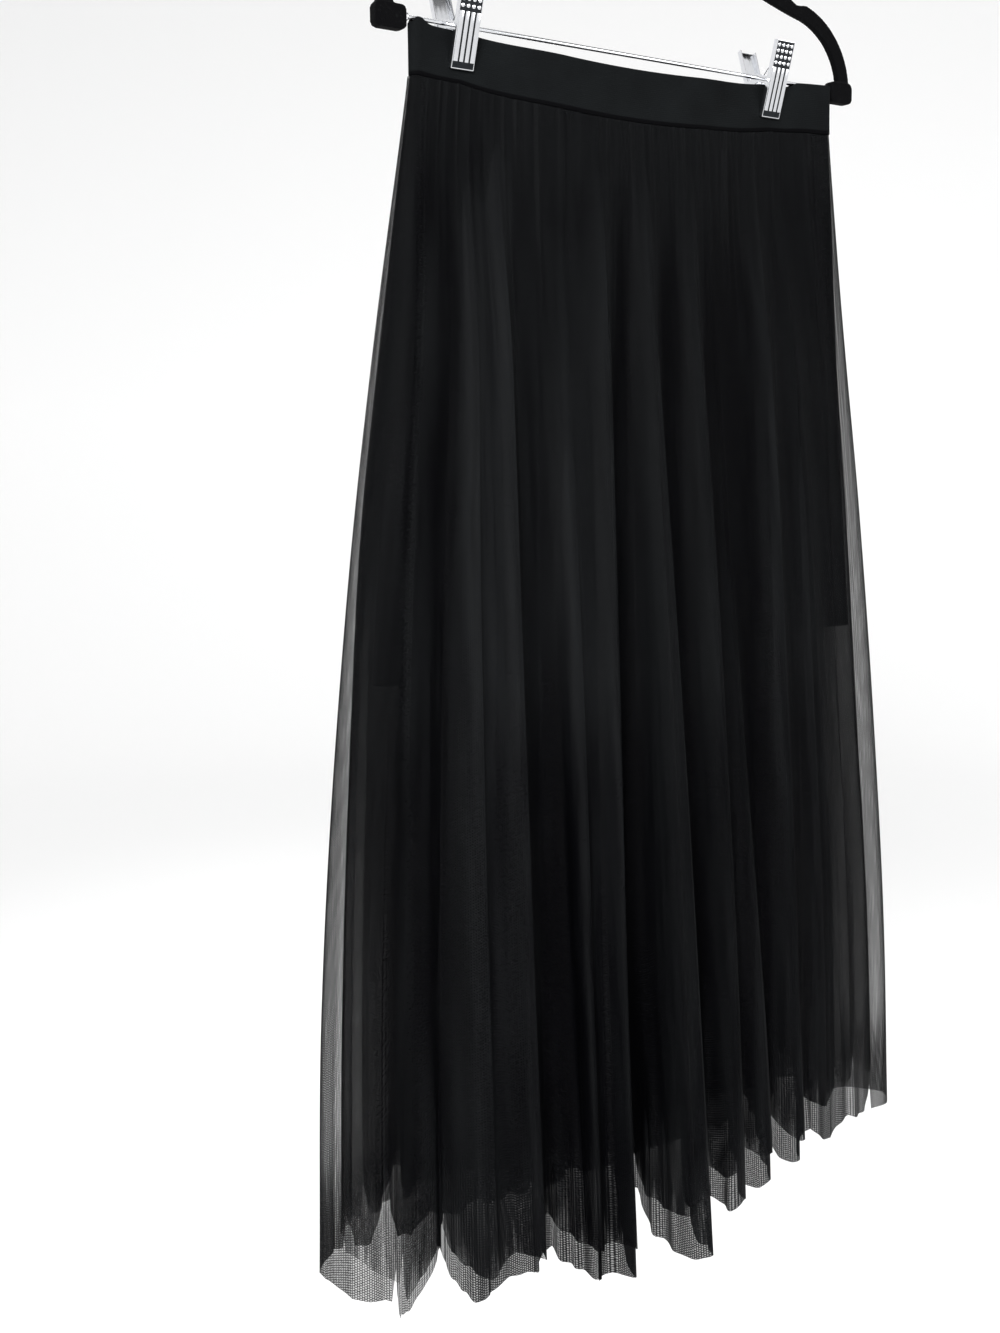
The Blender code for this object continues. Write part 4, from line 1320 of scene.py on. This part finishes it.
for word, x in clip_x.items():
    for face, depth, wide in (("front", 1.0, 1.0), ("back", -1.0, NARROWER)):
        placing = Matrix.Translation((x, 0, 0)) @ Matrix.Diagonal((wide, depth, 1, 1))
        placed = copy_of(lever, f"lever_{word}_{face}", placing)
        if depth < 0:
            placed.data.flip_normals()
        hand_over(placed, "chrome", f"clip_{word}_{face}")
bpy.data.objects.remove(lever)

# ---------------------------------------------------------------- springs
# A torsion spring of 1 mm music wire wound round the rod between each clip's ears. Its two ends
# push the grips apart and so close the jaws.

SPRING_WIRE, SPRING_RADIUS, SPRING_TURNS, SPRING_PITCH = 0.0005, 0.0026, 10, 0.00115
SPRING_LEG_OUT, SPRING_LEG_UP = 0.0130, 0.0115

coil = add_primitive(
    "coil",
    bpy.ops.mesh.primitive_circle_add,
    vertices=10,
    radius=SPRING_WIRE,
    location=(-SPRING_TURNS * SPRING_PITCH / 2, -SPRING_RADIUS, 0),
)
bpy.ops.object.mode_set(mode="OBJECT")
modify(
    coil,
    "SCREW",
    axis="X",
    steps=20,
    render_steps=20,
    iterations=SPRING_TURNS,
    screw_offset=SPRING_PITCH,
    use_merge_vertices=False,
)
bpy.ops.object.mode_set(mode="EDIT")
leg_from = SPRING_TURNS * SPRING_PITCH / 2 - SPRING_WIRE * 1.5
for sign in (-1, 1):
    pick("EDGE", lambda middle, edge: edge.is_boundary and sign * middle.x > leg_from)
    extrude((0, sign * SPRING_LEG_OUT, SPRING_LEG_UP))
bpy.ops.mesh.select_all(action="SELECT")
bpy.ops.mesh.normals_make_consistent(inside=False)
bpy.ops.object.mode_set(mode="OBJECT")
bpy.ops.object.shade_smooth_by_angle(angle=math.radians(60))
coil.data.materials.append(chrome)
for word, x in clip_x.items():
    placed = copy_of(coil, f"spring_{word}", Matrix.Translation((x, 0, rod_z)))
    hand_over(placed, "chrome", f"clip_{word}_spring")
bpy.data.objects.remove(coil)

# ---------------------------------------------------------------- jaw pads
# A block of soft black vinyl, moulded and pushed into each jaw so that the steel doesn't mark the
# cloth. Vinyl is matt with a dull gleam and a fine pebble from its mould.

VINYL = ("#141516", "#202224")  # the pebble's hollows and tops

vinyl = grained_material("soft_vinyl", (1400.0, 2.0), VINYL, {"Roughness": 0.6}, 0.0002)
for word in clip_x:
    for face in ("front", "back"):
        pad = bpy.data.objects[f"clip_{word}_{face}_pad"]
        for used in pad.material_slots:
            used.material = vinyl

# ---------------------------------------------------------------- studio
# A pale seamless floor that curves up into a wall all round, lit softly from the front and above.

CAMERA_AT = Vector((-0.7883, -0.9588, -0.5295))
CAMERA_TURN, CAMERA_TILT, CAMERA_ROLL = 34.53, 7.12, -0.62  # degrees
FLOOR_BELOW_HEM = 0.16
ROOM_RADIUS, ROOM_CORNER, ROOM_HEIGHT = 3.6, 0.9, 3.4
CORNER_STEPS = 10
PAPER, PAPER_GLOW = ("#bababa", "#c2c2c2"), 0.50
LENS, SENSOR = 43.2, 36.0  # mm, the sensor's along the frame's height
AIM_AT = Vector((0, 0, -0.6))  # of the lamps

floor_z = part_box("outer_tulle_front")[0].z - FLOOR_BELOW_HEM
paper = grained_material(
    "studio_paper",
    (900.0, 2.0),
    PAPER,
    {
        "Roughness": 0.95,
        "Specular IOR Level": 0.1,
        "Emission Color": linear("#ffffff"),
        "Emission Strength": PAPER_GLOW,
    },
)
bpy.ops.object.select_all(action="DESELECT")
bpy.ops.mesh.primitive_circle_add(
    vertices=96, radius=ROOM_RADIUS - ROOM_CORNER, fill_type="NGON", location=(0, 0, floor_z)
)
room = bpy.context.object
room.name = "studio_room"
bpy.ops.object.mode_set(mode="EDIT")
bpy.ops.mesh.select_all(action="SELECT")
bpy.ops.mesh.region_to_loop()
for i in range(CORNER_STEPS):
    before, after = math.pi / 2 * i / CORNER_STEPS, math.pi / 2 * (i + 1) / CORNER_STEPS
    radius = ROOM_RADIUS - ROOM_CORNER + ROOM_CORNER * math.sin(before)
    wider = (ROOM_RADIUS - ROOM_CORNER + ROOM_CORNER * math.sin(after)) / radius
    rise = ROOM_CORNER * (math.cos(before) - math.cos(after))
    extrude((0, 0, rise))
    bpy.ops.transform.resize(value=(wider, wider, 1.0))
extrude((0, 0, ROOM_HEIGHT))
bpy.ops.object.mode_set(mode="OBJECT")
room.data.shade_smooth()
room.data.materials.append(paper)
room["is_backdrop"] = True

for name, at, size, power in (
    ("key_light", (-2.0, -2.1, 0.35), 1.2, 22.0),
    ("fill_light", (1.9, -2.3, 0.2), 1.6, 3.0),
    ("top_light", (0.2, 0.3, 1.7), 1.6, 3.0),
    ("back_light", (0.9, 2.6, 0.2), 1.6, 10.0),
):
    light = bpy.data.lights.new(name, "AREA")
    light.shape = "DISK"
    light.size = size
    light.energy = power
    light.spread = math.radians(60)
    lamp = bpy.data.objects.new(name, light)
    lamp.location = at
    aim = AIM_AT - Vector(at)
    lamp.rotation_mode = "QUATERNION"
    lamp.rotation_quaternion = aim.to_track_quat("-Z", "Y")
    lamp.visible_camera = False
    bpy.context.scene.collection.objects.link(lamp)

world = bpy.data.worlds.new("soft_room")
world.use_nodes = True
world.node_tree.nodes["Background"].inputs["Color"].default_value = linear("#f2f2f2")
world.node_tree.nodes["Background"].inputs["Strength"].default_value = 0.2
bpy.context.scene.world = world
bpy.context.scene.view_settings.view_transform = "Standard"

camera = bpy.data.cameras.new("camera")
camera.lens = LENS
camera.sensor_width = SENSOR
seen_from = bpy.data.objects.new("camera", camera)
faced = Matrix.Rotation(math.radians(-CAMERA_TURN), 4, "Z")
tilted = Matrix.Rotation(math.radians(90 - CAMERA_TILT), 4, "X")
rolled = Matrix.Rotation(math.radians(CAMERA_ROLL), 4, "Z")
seen_from.matrix_world = Matrix.Translation(CAMERA_AT) @ faced @ tilted @ rolled
bpy.context.scene.collection.objects.link(seen_from)
bpy.context.scene.camera = seen_from

low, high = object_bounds()
